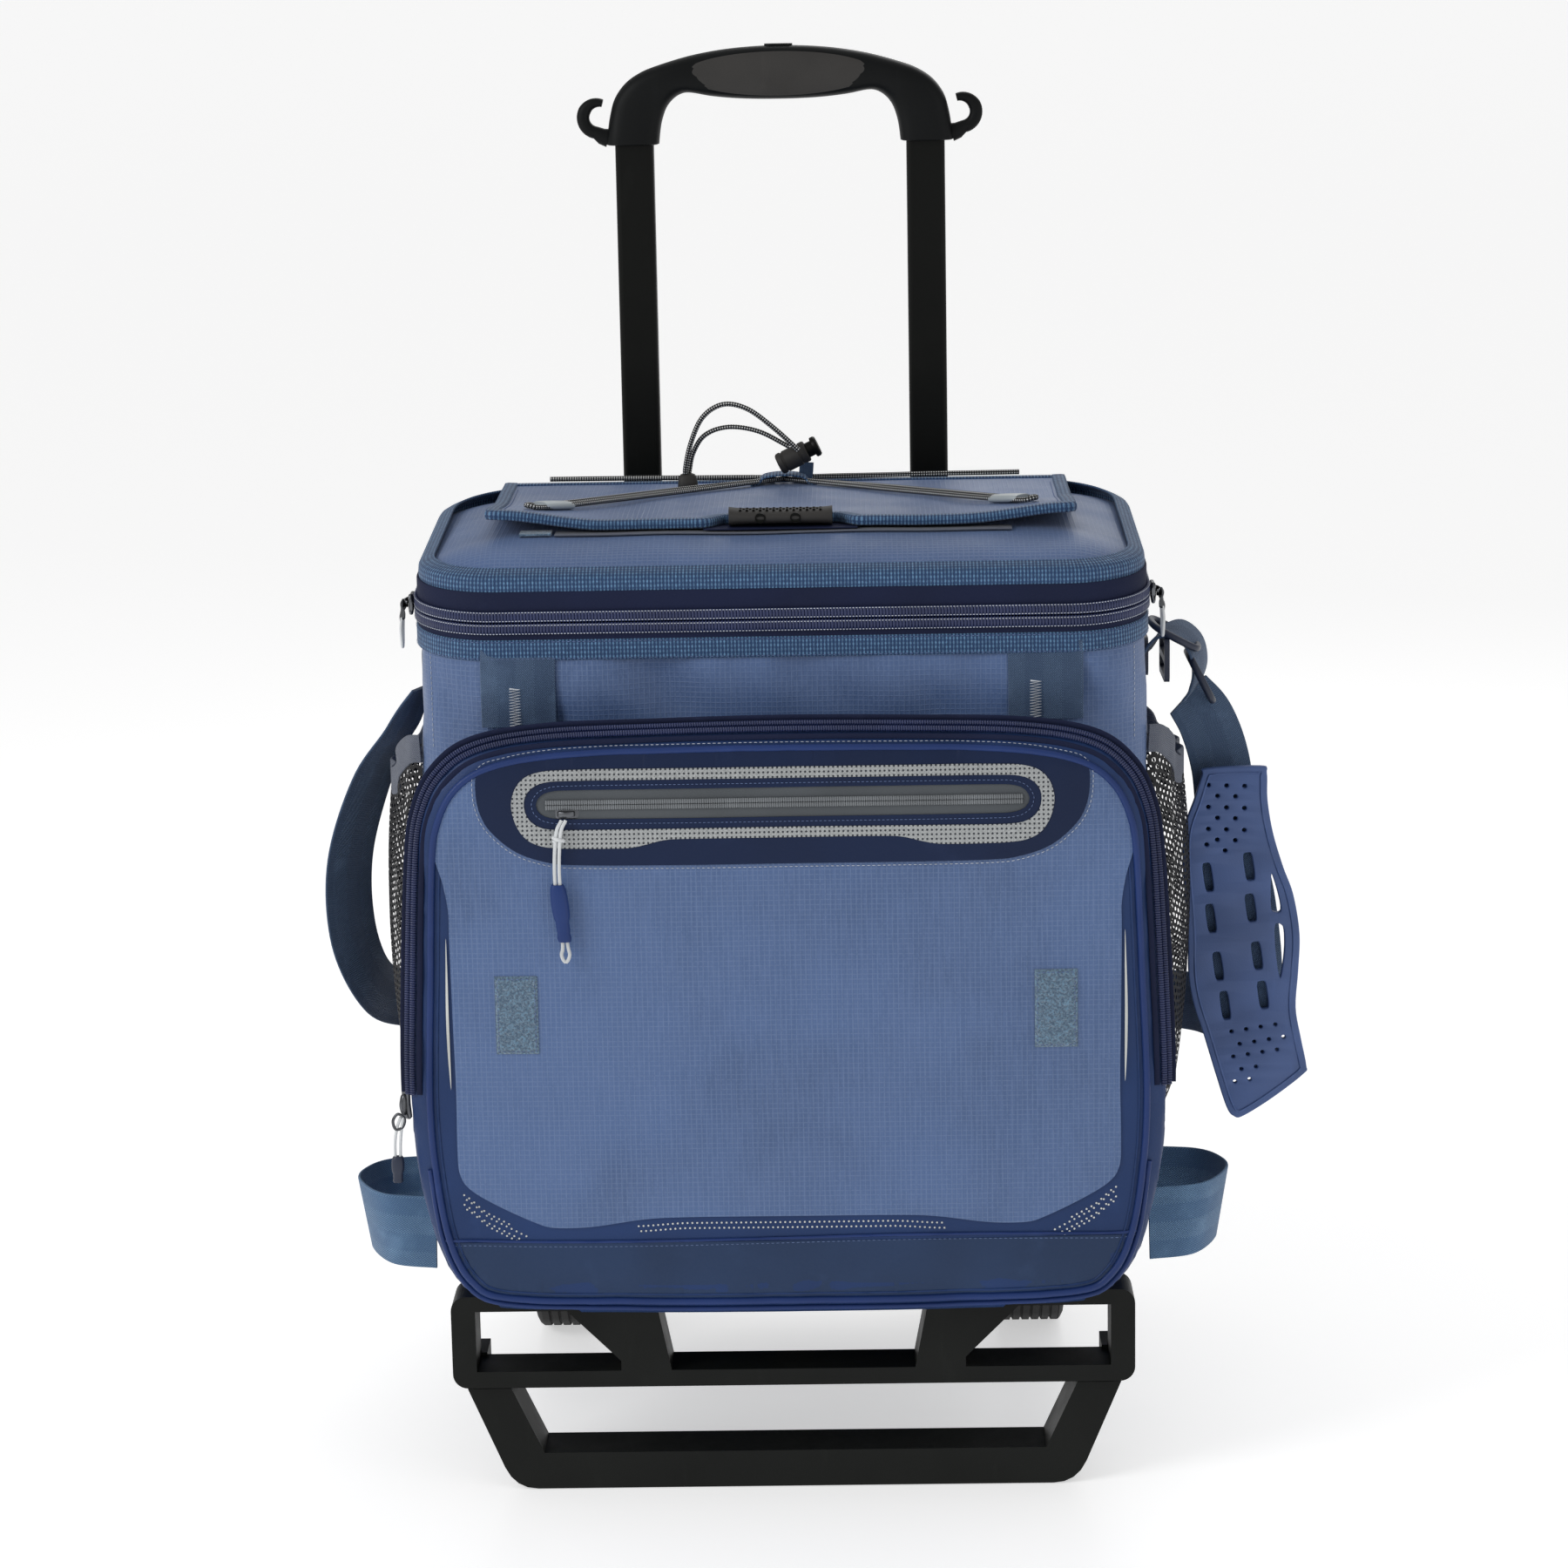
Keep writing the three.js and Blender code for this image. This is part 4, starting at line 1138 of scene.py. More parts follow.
pocket = front_pocket()
pocket_hit = surface_of(pocket)


def on_pocket(points, lift=0.0):
    """Points (x, anything, z) moved onto the pocket's front, lift in front of it."""
    found = []
    for x, _, z in points:
        hit = pocket_hit((x, POCKET_RAY_Y, z), (0, 1, 0))
        depth = PANEL_Y if hit is None or hit[1] > POCKET_FRONT + 12 else hit[1]
        found.append((x, depth - lift, z))
    return np.array(found)


def overlay(name, loops, lift, material, cell=11.0, thickness=0.7):
    """A thin layer on the pocket's front, cut to closed outlines; later outlines are holes."""
    work = bmesh.new()
    for points in loops:
        ring = [work.verts.new((x, 0, z)) for x, _, z in points]
        for a, b in zip(ring, ring[1:] + ring[:1]):
            work.edges.new((a, b))
    bmesh.ops.triangle_fill(work, use_beauty=True, edges=work.edges[:])
    low = np.min(np.vstack(loops), 0)
    high = np.max(np.vstack(loops), 0)
    for axis in (0, 2):
        at = low[axis] + cell
        while at < high[axis] - 1:
            point = [0.0, 0.0, 0.0]
            way = [0.0, 0.0, 0.0]
            point[axis] = at
            way[axis] = 1.0
            bmesh.ops.bisect_plane(work, geom=work.verts[:] + work.edges[:] + work.faces[:],
                                   plane_co=point, plane_no=way)
            at += cell
    bmesh.ops.triangulate(work, faces=work.faces[:])
    work.verts.ensure_lookup_table()
    flat = [tuple(v.co) for v in work.verts]
    faces = [tuple(v.index for v in f.verts) for f in work.faces]
    rim = [(e.verts[0].index, e.verts[1].index) for e in work.edges if len(e.link_faces) == 1]
    work.free()
    top = on_pocket(flat, lift)
    under = top + np.array((0, thickness, 0))
    count = len(flat)
    sides = [(a, b, b + count, a + count) for a, b in rim]
    back = [tuple(v + count for v in reversed(f)) for f in faces]
    return shape(name, np.vstack([top, under]), faces + back + sides, material, sharp=50)


def inset(points, distance):
    """The same closed outline moved inwards by distance."""
    tangent = directions(points, True)
    inward = np.stack([tangent[:, 2], np.zeros(len(points)), -tangent[:, 0]], 1)
    middle = points.mean(0)
    if np.sum((middle - points) * inward) < 0:
        inward = -inward
    return points + inward * distance


def even_outline(half, steps=6):
    """A closed outline from its right half, with points 3 mm apart."""
    return evenly(outline(half, steps), 3.0, True)


PANEL_HALF = [(0, 465), (135, 462.5), (168, 456), (188, 443), (199.5, 424), (203.5, 408), (203, 400),
              (199, 386), (196.5, 370), (196.5, 354), (196, 300), (195.5, 262), (196, 225), (195, 210),
              (189, 200.5), (173, 190.5), (150, 179.5), (139, 176.6), (117, 177), (88, 181), (64, 182.2),
              (0, 182.4)]
INSERT_HALF = [(0, 465.6), (120, 464), (165, 458), (176.5, 452), (178, 441), (176, 429), (170, 418),
               (156, 406), (138, 399.5), (118, 397.5), (60, 397), (0, 397)]
BAND_HALF = [(0, 454), (50, 454), (100, 454), (126, 453.8), (138, 453.2), (148, 450.4), (154.6, 444),
             (157.5, 434), (155.5, 423), (150, 414), (142, 409.5), (132, 407.9), (118, 407.4), (100, 407.3),
             (89, 407.6),
             (79, 409.6), (69, 412), (55, 412.6), (0, 412.6)]
BAND_HOLE_HALF = [(0, 447.6), (50, 447.6), (100, 447.6), (124, 447.5), (136, 447), (144, 444.4), (149, 439),
                  (150, 432), (147.5, 425), (141, 420.2), (133, 418.8), (120, 418.5), (90, 418.6),
                  (50, 418.7), (0, 418.8)]
OPENING_HALF = [(0, 442), (50, 442), (100, 442), (122, 441.9), (133, 441.5), (140, 439), (143.2, 433.4),
                (140.4, 427.8), (133, 425.2), (122, 424.8), (100, 424.7), (50, 424.6), (0, 424.6)]
BASE_BAND_HALF = [(0, 166.5), (100, 166.8), (196, 167), (202.5, 164), (199, 152), (188.5, 142.5),
                  (167, 134.4), (90, 131.4), (0, 131)]
SLIVER = [(198.4, 354), (199.2, 335), (199.9, 308), (199.6, 282), (198.4, 262), (198.2, 282), (198.3, 308),
          (198.2, 335)]


def pocket_layers():
    """The sewn and bonded layers on the pocket's front."""
    panel = even_outline(PANEL_HALF)
    insert = even_outline(INSERT_HALF)
    band = even_outline(BAND_HALF)
    band_hole = even_outline(BAND_HOLE_HALF)
    opening = even_outline(OPENING_HALF)
    forward = (0, -1, 0)
    place(overlay("pocket_ripstop_panel", [panel], 1.0, ripstop), "bag", "ripstop")
    place(overlay("pocket_insert", [insert, opening], 2.0, insert_navy, 14, 1.2), "bag", "navy_trim")
    place(overlay("pocket_reflective_band", [band, band_hole], 2.5, reflective, 14, 0.6), "bag", None)
    place(overlay("pocket_zip_tape", [inset(opening, -3)], 1.2, tape_grey, 14, 0.5), "bag", "navy_trim")
    seam = on_pocket(inset(insert, -2.0), 1.4)
    place(stitches("pocket_insert_stitch", seam, forward, thread_pale, 3.0, 0.26, True), "bag", "ripstop")
    seam = on_pocket(inset(opening, -2.6), 2.3)
    place(stitches("pocket_opening_stitch", seam, forward, thread_blue, 2.6, 0.24, True), "bag", "navy_trim")
    for name, sign in SIDES:
        sliver = spline([(sign * x, 0, z) for x, z in SLIVER], 5, True)
        place(overlay(f"pocket_silver_edge_{name}", [sliver], 1.3, silver_trim, 14, 0.4), "bag", None)
    wavy = [(x, 0, 168.6 + 1.2 * math.sin(x / 60)) for x in range(-190, 200, 19)]
    lip = spline([(-205, 0, 168)] + wavy + [(205, 0, 169)], 4)
    place(tube("pocket_band_fold", on_pocket(lip, 0.5), 0.9, piping_navy, 6), "bag", "navy_trim")
    seam = on_pocket(lip - (0, 0, 3.2), 0.25)
    place(stitches("pocket_band_stitch", seam, forward, thread_blue, 3.0, 0.26), "bag", "navy_trim")
    base = even_outline(BASE_BAND_HALF)
    place(overlay("pocket_base_band", [base], 0.35, band_navy, 14, 0.5), "bag", "navy_trim")


def dots(name, spots, radius, material, lift):
    """Small round perforations printed on the pocket's front."""
    sides = 7
    ring = [(0.0, 0.0, 0.0)] + [(math.cos(2 * math.pi * k / sides), 0.35, math.sin(2 * math.pi * k / sides))
                                for k in range(sides)]
    form = (np.array(ring) * radius, [(0, 1 + (k + 1) % sides, 1 + k) for k in range(sides)])
    centres = on_pocket([(x, 0, z) for x, z in spots], lift)
    return copies(name, form, centres, repeated(len(centres), (1, 0, 0), (0, 1, 0), (0, 0, 1)), material)


def perforations():
    """The printed dots in the pocket's lower corners and along its lower edge."""
    spots = []
    for sign in (-1, 1):
        for row in range(4):
            for k in range(14 - row):
                x = 193 - 2.9 * k - 1.45 * (row % 2)
                z = 197 - 1.55 * k - 3.0 * row - 4.0 * smoothstep(0, 5, k)
                if k > 9 and row < 1:
                    continue
                spots.append((sign * x, z))
    for row in range(2):
        for k in range(-31, 32):
            x = 2.9 * (k + 0.5 * row)
            spots.append((x, 178.4 - 3.2 * row - 1.6 * smoothstep(60, 92, abs(x))))
    place(dots("pocket_perforations", spots, 0.62, silver_trim, 0.5), "bag", None)


def pocket_piping():
    """The corded edge round the panel, and the seam that follows it under the pocket."""
    edge = evenly(outline(PIPING_HALF), 3.0, True)
    line = on_pocket(inset(edge, 1.6), 0.9)
    place(tube("pocket_piping", line, 2.1, piping_navy, 10, True), "bag", "navy_trim")
    inner = on_pocket(inset(edge, 6.2), 0.15)
    place(tube("pocket_piping_fold", inner, 0.7, navy, 6, True), "bag", "navy_trim")
    half = [(213, 212), (206.5, 167), (193, 138), (169.5, 127), (90, 123.2), (0, 122.7)]
    whole = [(-x, 0, z) for x, z in half] + [(x, 0, z) for x, z in reversed(half[:-1])]
    line = evenly(spline(whole, 8), 3.0)
    hits = [pocket_hit((x, POCKET_RAY_Y, z), (0, 1, 0)) for x, _, z in line]
    line = np.array([(x, -38.5 if hit is None else hit[1] - 0.6, z) for (x, _, z), hit in zip(line, hits)])
    place(tube("pocket_piping_lower", line, 1.7, piping_navy, 8), "bag", "navy_trim")


def slope_point(a, b, k, lift):
    """A point on the slope between the piping and the zip's edge, lift out of it."""
    point = a + (b - a) * k
    point[1] = zip_slope_y(k)
    out = unit((b - a) * (1, 0, 1)) * 0.55 + np.array((0, -0.83, 0))
    return point + unit(out) * lift


def pocket_zip():
    """The coil zip over the pocket's top and down both sides."""
    panel = outline(PIPING_HALF)
    edge = outline(ZIP_HALF)
    count = len(panel)
    order = list(range(count // 2, count)) + list(range(0, count // 2))
    keep = [i for i in order if edge[i][2] > 252]
    for name, k, lift in (("inner", 0.58, 1.4), ("outer", 0.78, 1.7)):
        line = np.array([slope_point(panel[i], edge[i], k, lift) for i in keep])
        at = evenly(line, 1.45)
        tangent = directions(at)
        outward = unit(np.cross(tangent, np.cross((0, -1, 0), tangent)) + 1e-9)
        across = unit(np.cross(outward, tangent))
        axes = (across, tangent, outward)
        coil = copies(f"pocket_coil_{name}", capsule(3.7, 0.85, 6, 0.9), at, axes, coil_navy)
        place(coil, "bag", "navy_trim")
    for name, k, width in (("inner", 0.3, 3.2), ("outer", 1.0, 3.6)):
        line = np.array([slope_point(panel[i], edge[i], k, 0.7) for i in keep])
        line = evenly(line, 4)
        tangent = directions(line)
        across = unit(np.cross((0, -1, 0.001), tangent))
        place(ribbon(f"pocket_zip_tape_{name}", line, across, width, 1.0, tape_navy), "bag", "navy_trim")


def small_zip():
    """The short zip in the insert: coil, slider and its cord pull in a sleeve."""
    line = on_pocket([(x, 0, 433.2) for x in np.arange(-137, 139, 1.3)], 1.9)
    for name, way in (("upper", 1), ("lower", -1)):
        centre = line + np.array((0, 0, way * 1.5))
        axes = repeated(len(line), (0, 0, 1), (1, 0, 0), (0, -1, 0))
        coil = copies(f"small_zip_coil_{name}", capsule(3.0, 0.75, 6, 0.9), centre, axes, coil_grey)
        place(coil, "bag", "pull_cord")
    middle = (small_low + small_high) / 2 + (0, 0.4, 0)
    slider("small_zip_slider_cast", middle, 14.5, 10.5, 4.6, (1, 0, 0), (0, -1, 0), "small_zip",
           "small_zip_slider")
    top = np.array((-127.0, small_pull_low[1] + 2, 423.5))
    knot = top + (-3.2, -0.6, -9)
    sleeve_top = top + (-4.4, -1.0, -36)
    sleeve_end = top + (-1.0, -1.2, -70)
    route = [top + (-1.2, 2.2, 1.5), knot + (-1.3, 0, 2), sleeve_top + (-1.35, 0, 2),
             sleeve_end + (-1.35, 0, 0), sleeve_end + (-2.2, 0, -8), sleeve_end + (0.2, 0, -12.5),
             sleeve_end + (2.6, 0, -8), sleeve_end + (1.35, 0, 0),
             sleeve_top + (1.35, 0, 2), knot + (1.3, 0, 2), top + (1.2, 2.2, 1.5)]
    sleeve = cord_sleeve("small_zip_sleeve", sleeve_top, sleeve_end, 5.2, 3.4, piping_navy)
    place(sleeve, "small_pull", "navy_trim", "small_zip_pull")
    wound = [knot + step for step in ((-3, 0.4, 1), (0, -1.6, 0), (3, 0.4, -1), (0, 1.6, -0.4),
                                      (-2.6, -0.6, -1.6))]
    tie = tube("small_zip_knot", spline(wound, 8), 1.2, pull_cord, 8)
    place(tie, "small_pull", "pull_cord")
    free_cord("small_zip_cord", route, 1.1, pull_cord, "small_pull", "pull_cord")


def cord_sleeve(name, top, end, half_width, half_depth, material):
    """A flattened moulded sleeve over a pull's two cords."""
    rows = []
    section = rounded_section(2.6, 20)
    for k in np.linspace(0, 1, 15):
        at = np.array(top) * (1 - k) + np.array(end) * k
        size = 0.82 + 0.18 * math.sin(math.pi * min(1, k * 1.4)) if 0 < k < 1 else 0.7
        ridge = 1 - 0.08 * (1 + math.cos(k * 12 * math.pi)) * (0.6 < k < 0.95)
        rows.append([at + np.array((u * half_width * size * ridge, v * half_depth * size * ridge, 0))
                     for u, v in section])
    return lofted(name, rows, material, 60)


def slider(name, centre, length, width, height, along, outward, body, node):
    """A cast zip slider: a waisted body with a raised bridge for its pull."""
    along = unit(np.array(along, float))
    outward = unit(np.array(outward, float))
    side = np.cross(outward, along)
    centre = np.array(centre, float)
    rows = []
    section = rounded_section(3.2, 18)
    for k in np.linspace(-1, 1, 13):
        waist = 0.5 * width * (0.72 + 0.28 * smoothstep(0.2, -0.9, k))
        waist *= 1 - 0.35 * smoothstep(0.85, 1, abs(k))
        tall = height * 0.32 * (1 - 0.4 * smoothstep(0.8, 1, abs(k)))
        at = centre + along * k * length / 2
        rows.append([at + side * u * waist + outward * v * tall for u, v in section])
    obj = place(lofted(name, rows, gunmetal, 50), body, "slider_metal", node)
    bridge = [centre + along * a * length + outward * b * height
              for a, b in ((-0.36, 0.4), (-0.3, 0.66), (-0.05, 0.88), (0.2, 0.66), (0.28, 0.4))]
    line = spline(bridge, 5)
    place(ribbon(f"{name}_bridge", line, side, width * 0.3, 1.1, gunmetal), body, "slider_metal")
    return obj


def patches():
    """The two hook-and-loop patches: a stitched pile square each."""
    for name, sign in SIDES:
        centre = sign * (patch_low[0] + patch_high[0]) / 2
        half_width = (patch_high[0] - patch_low[0]) / 2
        low = patch_low[2]
        high = patch_high[2]
        columns = 26
        lines = 46
        rows = []
        for i in range(lines + 1):
            z = low + (high - low) * i / lines
            row = []
            for j in range(columns + 1):
                x = centre + half_width * (2 * j / columns - 1)
                border = min(j, columns - j, i, lines - i)
                pile = 0.5 + 1.1 * min(1, border / 2) + 0.9 * rumple(x, 0, z, 1.9, 4.0) * min(1, border)
                row.append((x, pile, z))
            rows.append(row)
        flat = np.array(rows).reshape(-1, 3)
        lifted = on_pocket(flat, 1.0)
        lifted[:, 1] -= flat[:, 1]
        rim = on_pocket(flat, 0.9).reshape(lines + 1, columns + 1, 3)
        grid = lifted.reshape(lines + 1, columns + 1, 3)
        whole = np.concatenate([rim[:1], grid, rim[-1:]])
        place(lofted(f"hook_loop_patch_{name}_pile", whole, pile_blue, around=False), "bag", "hook_loop",
              f"hook_loop_patch_{name}")
        reach = half_width - 1.6
        loop = [(centre - reach, 0, low + 1.6), (centre + reach, 0, low + 1.6),
                (centre + reach, 0, high - 1.6), (centre - reach, 0, high - 1.6)]
        seam = on_pocket(evenly(loop, 2.0, True), 2.5)
        place(stitches(f"hook_loop_patch_{name}_stitch", seam, (0, -1, 0), thread_blue, 2.8, 0.28, True),
              "bag", "navy_trim")


pocket_layers()
perforations()
pocket_piping()
pocket_zip()
small_zip()
patches()


# ---------------------------------------------------------------- flap and its cord
FLAP_HALF = flap_high[0] - 4
FLAP_FRONT = pull_low[1] + 8
FLAP_HINGE = flap_high[1]
FLAP_BACK = FLAP_HINGE - 10
NOTCH_HALF = 48.0
NOTCH_DEPTH = 17.0


def flap_front_y(x):
    """The flap's front edge, with the hollow cut out of its middle for the pull."""
    return FLAP_FRONT + NOTCH_DEPTH * smoothstep(NOTCH_HALF + 2, NOTCH_HALF - 14, abs(x))


def flap_top_z(x, y):
    """Height of the flap's upper face."""
    ripple = 0.8 * rumple(x, y, 0, 44, 7.7) * smoothstep(FLAP_BACK, FLAP_BACK - 40, y)
    return FLAP_TOP - 0.6 + flap_curl(x, y) + ripple


def flap_hinge():
    """The tape that joins the flap's back edge to the lid, in one fixed shape."""
    rows = []
    places = np.linspace(FLAP_BACK - 8, FLAP_HINGE + 4, 11)
    for x in np.linspace(-FLAP_HALF - 1, FLAP_HALF + 1, 60):
        top = [(x, y, flap_top_z(x, y) + 0.9 - 2.6 * smoothstep(FLAP_BACK - 1, FLAP_HINGE, y))
               for y in places]
        rows.append(top + [(x, y, z - 1.1) for x, y, z in reversed(top)])
    obj = lofted("flap_hinge_tape", rows, binding)
    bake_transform(obj)


def flap_sheet():
    """The quick-access flap: a padded ripstop panel with curled front corners."""
    rows = []
    for x in np.linspace(-FLAP_HALF, FLAP_HALF, 79):
        front = flap_front_y(x)
        line = [(x * (1 + 2 / FLAP_HALF * k), front + (FLAP_BACK - front) * k) for k in np.linspace(0, 1, 40)]
        top = [(a, b, flap_top_z(a, b)) for a, b in line]
        under = [(a, b, flap_top_z(a, b) - 3.4) for a, b in reversed(line)]
        rows.append(top + under)
    obj = place(lofted("flap_panel", rows, ripstop), "flap", "ripstop", "flap")


def flap_binding():
    """Binding tape folded over the flap's sides and front."""
    side = [(FLAP_HALF + 2.6 - 2.0 * k, FLAP_BACK - (FLAP_BACK - FLAP_FRONT - 3) * k)
            for k in np.linspace(0, 1, 30)]
    front = [(x, flap_front_y(x) + 2.2) for x in np.linspace(FLAP_HALF - 4, NOTCH_HALF + 3, 20)]
    notch = [(x, flap_front_y(x) + 1.2) for x in np.linspace(NOTCH_HALF, 0, 24)]
    half = side + front + notch
    plan = [(-x, y) for x, y in half] + [(x, y) for x, y in reversed(half[:-1])]
    line = evenly([(x, y, flap_top_z(x, y) - 1.7) for x, y in plan], 3.0)
    tangent = directions(line)
    across = unit(np.cross(tangent, (0, 0, 1)))
    upper = [(-4.8, 1.2), (-4.0, 2.7), (-2, 3.0), (3.5, 2.8), (4.2, 2.2)]
    rows = sweep(line, -across, upper + [(a, -b) for a, b in reversed(upper)])
    place(lofted("flap_binding", rows, binding, 60), "flap", "navy_trim")
    line = evenly([(x * 0.965, y + 5.5, flap_top_z(x * 0.965, y + 5.5) + 0.25) for x, y in plan[6:-6]], 3.0)
    place(stitches("flap_stitch", line, (0, 0, 1), thread_blue, 3.0, 0.26), "flap", "navy_trim")


def flap_well():
    """The dark lining seen in the flap's hollow, on the lid."""
    line = [(x, 66, 577.9) for x in np.linspace(-46, 46, 20)]
    place(ribbon("flap_well_lining", line, (0, 1, 0), 26, 0.8, tape_navy), "lid", "navy_trim")


def rubber_pull():
    """The rubber pull in the flap's hollow: a flattened tunnel with two eyelets and rows of pips."""
    middle_y = (pull_low[1] + pull_high[1]) / 2 + 3
    middle_z = (pull_low[2] + pull_high[2]) / 2 + 0.6
    rows = []
    outer = rounded_section(2.6, 32)
    for k in np.linspace(-1, 1, 33):
        flare = 1 + 0.25 * abs(k) ** 6
        half_y = 10.5 * (1 - 0.12 * abs(k) ** 4)
        half_z = 4.3 * flare
        ring = [(pull_high[0] * k, middle_y + half_y * u, middle_z + half_z * v) for u, v in outer]
        rows.append(ring)
    inner = [[(x, middle_y + (y - middle_y) * 0.78, middle_z + (z - middle_z) * 0.62) for x, y, z in ring]
             for ring in reversed(rows)]
    tunnel = lofted("flap_pull_tunnel", rows + inner, soft_rubber, 60, loop=True)
    place(tunnel, "flap", "soft_rubber", "flap_pull")
    for index, x in enumerate((-12.0, 9.0)):
        hole_ring(f"flap_pull_eyelet_{index + 1}", (x, middle_y - 10.6, middle_z), 2.5, (0, -1, 0))
    small = [(x, middle_y - 6.5 + 3.6 * row, middle_z + 4.2) for row in range(3)
             for x in np.arange(-24 + 2 * (row % 2), 26, 4.0)]
    axes = repeated(len(small), (1, 0, 0), (0, 1, 0), (0, 0, 1))
    pips = copies("flap_pull_pips", capsule(1.7, 0.85, 6, 0.95), np.array(small), axes, tube_black)
    place(pips, "flap", "soft_rubber")


def hole_ring(name, centre, radius, outward):
    """A raised rim round a near-black floor: a hole moulded into a face, its depth shown by painted shade on
    the floor.
    """
    outward = np.array(outward, float)
    first = unit(np.cross(outward, (0, 0, 1)))
    second = np.cross(outward, first)
    centre = np.array(centre, float)
    rows = []
    for size, lift in ((1.3, -0.3), (1.2, 0.5), (1.0, 0.5), (0.9, -0.2), (0.1, -0.25)):
        rows.append([centre + outward * lift + (first * math.cos(a) + second * math.sin(a)) * radius * size
                     for a in np.linspace(0, 2 * math.pi, 18, endpoint=False)])
    # the near-black floor is painted shade in place of the hole's depth
    place(lofted(name, rows, tube_black, 30), "flap", "soft_rubber")


def cord_fittings():
    """What holds the cords: the grey corner sleeves, the webbing loop and the rubber anchor."""
    for name, sign in SIDES:
        rows = []
        start = np.array(over_flap(sign * 146, 92)) + (0, 0, 0.2)
        end = np.array(over_flap(sign * 130, 107)) + (0, 0, 0.2)
        way = unit(end - start)
        side = unit(np.cross(way, (0, 0, 1)))
        for k in np.linspace(0, 1, 9):
            swell = 1 - 0.12 * abs(2 * k - 1) ** 3
            at = start + (end - start) * k
            rows.append([at + side * u * 7.6 * swell + np.array((0, 0, 2.5 * v * swell))
                         for u, v in rounded_section(3, 18)])
        place(lofted(f"bungee_sleeve_{name}", rows, clear_grey, 60), "flap", "pull_cord")
    low = FLAP_TOP - 0.4
    arch = ((-21, 0), (-16, 1.2), (-12, 4.9), (0, 6.3), (12, 4.9), (16, 1.2), (21, 0))
    line = spline([(x, 214, low + rise) for x, rise in arch], 5)
    place(ribbon("bungee_keeper", line, (0, 1, 0), 18, 1.3, binding), "flap", "webbing", "cord_tab")
    tab = spline([(13, 219, low + 0.8), (14, 219.5, low + 6.0), (14.5, 220, low + 12.5)], 6)
    place(ribbon("bungee_keeper_tab", tab, (1, 0.1, 0), 9, 1.6, webbing), "flap", "webbing")
    rows = []
    for z, size in ((low - 0.2, 0.9), (low + 0.6, 1.0), (low + 4, 0.95), (low + 7, 0.86), (low + 8.6, 0.7),
                    (low + 9.2, 0.45)):
        rows.append([(-60.5 + 6.5 * size * u, 199.5 + 5.5 * size * v, z) for u, v in rounded_section(3, 20)])
    place(lofted("lock_cord_anchor", rows, soft_rubber, 50), "flap", "soft_rubber")


def turned(name, profile, centre, axis, material, sides=28):
    """A round piece from (distance along its axis, radius) pairs."""
    axis = unit(np.array(axis, float))
    first = unit(np.cross(axis, (0, 1, 0)))
    second = np.cross(axis, first)
    rows = [[np.array(centre) + axis * at + (first * math.cos(a) + second * math.sin(a)) * radius
             for a in np.linspace(0, 2 * math.pi, sides, endpoint=False)] for at, radius in profile]
    return lofted(name, rows, material, 35)


def cord_lock():
    """The sprung cord lock: a ribbed barrel and its flanged plunger."""
    tilt = 0.45
    centre = (6, 202.5, 601)
    axis = (math.cos(tilt), 0, math.sin(tilt))
    barrel = [(-10, 0.6), (-10, 5.6), (-9.2, 6.6), (-8, 6.9), (-6.6, 6.9), (-6.2, 6.3), (-5.4, 6.3),
              (-5, 6.9), (4.6, 6.9), (5.0, 6.4), (5.8, 6.4), (6.2, 6.9), (9.2, 6.9), (10, 6.3), (10, 5.3),
              (-0.6, 5.3), (-0.6, 0.6)]
    place(turned("cord_lock_barrel_moulded", barrel, centre, axis, soft_rubber), "flap", "soft_rubber",
          "cord_lock_barrel")
    plunger = [(4.5, 0.6), (4.5, 4.8), (14.0, 4.8), (14.3, 6.2), (14.9, 6.6), (16.8, 6.6), (17.8, 5.8),
               (18, 0.6)]
    place(turned("cord_lock_plunger_moulded", plunger, centre, axis, tube_black), "cord_lock", "soft_rubber",
          "cord_lock_plunger")


def flap_fasteners():
    """The pile patch and the grey strip on the lid, under the flap's front edge."""
    y = 58
    for name, left, right, lift, thickness, material in (("pile", -156, -137, 1.2, 1.8, pile_blue),
                                                         ("strip", -135, 138, 0.7, 1.0, elastic_grey)):
        line = []
        for x in np.linspace(left, right, 30):
            hit = lid_hit((x, y, 640), (0, 0, -1))
            line.append((x, y, (LID_TOP - 0.4 if hit is None else hit[2]) + lift))
        place(ribbon(f"lid_fastener_{name}", line, (0, 1, 0), 15, thickness, material), "lid", "hook_loop")


flap_hinge()
flap_sheet()
flap_binding()
flap_well()
rubber_pull()
cord_fittings()
cord_lock()
flap_fasteners()


# ---------------------------------------------------------------- straps and side pockets
def front_straps():
    """The webbing that runs down the bag's front behind the pocket, each with a zig-zag tack."""
    middle = (strap_low[0] + strap_high[0]) / 2
    width = strap_high[0] - strap_low[0]
    for name, sign in SIDES:
        line = []
        for z in np.linspace(strap_low[2] - 8, strap_high[2] + 3, 24):
            hits = [bag_hit((sign * (middle + step), BODY_RAY_Y, z), (0, 1, 0))
                    for step in (-20, -10, 0, 10, 20)]
            depth = min(hit[1] for hit in hits if hit is not None)
            line.append((sign * middle, depth - 0.9, z))
        line = np.array(line)
        line[:, 1] = np.convolve(np.pad(line[:, 1], 3, mode="edge"), np.ones(7) / 7, "valid")
        strap = ribbon(f"front_strap_{name}_webbing", line, (1, 0, 0), width, 1.5, webbing)
        place(strap, "bag", "webbing", f"front_strap_{name}")
        tack = []
        x0 = sign * (middle - 2) - 4
        front = float(line[:, 1].min()) - 1.1
        for i in range(15):
            z = strap_high[2] - 20.5 - 1.7 * i
            tack += [(x0 - 3.0, front, z), (x0 + 3.0, front, z - 0.5)]
        place(tube(f"front_strap_{name}_tack", tack, 0.62, thread_white, 5), "bag", "webbing")


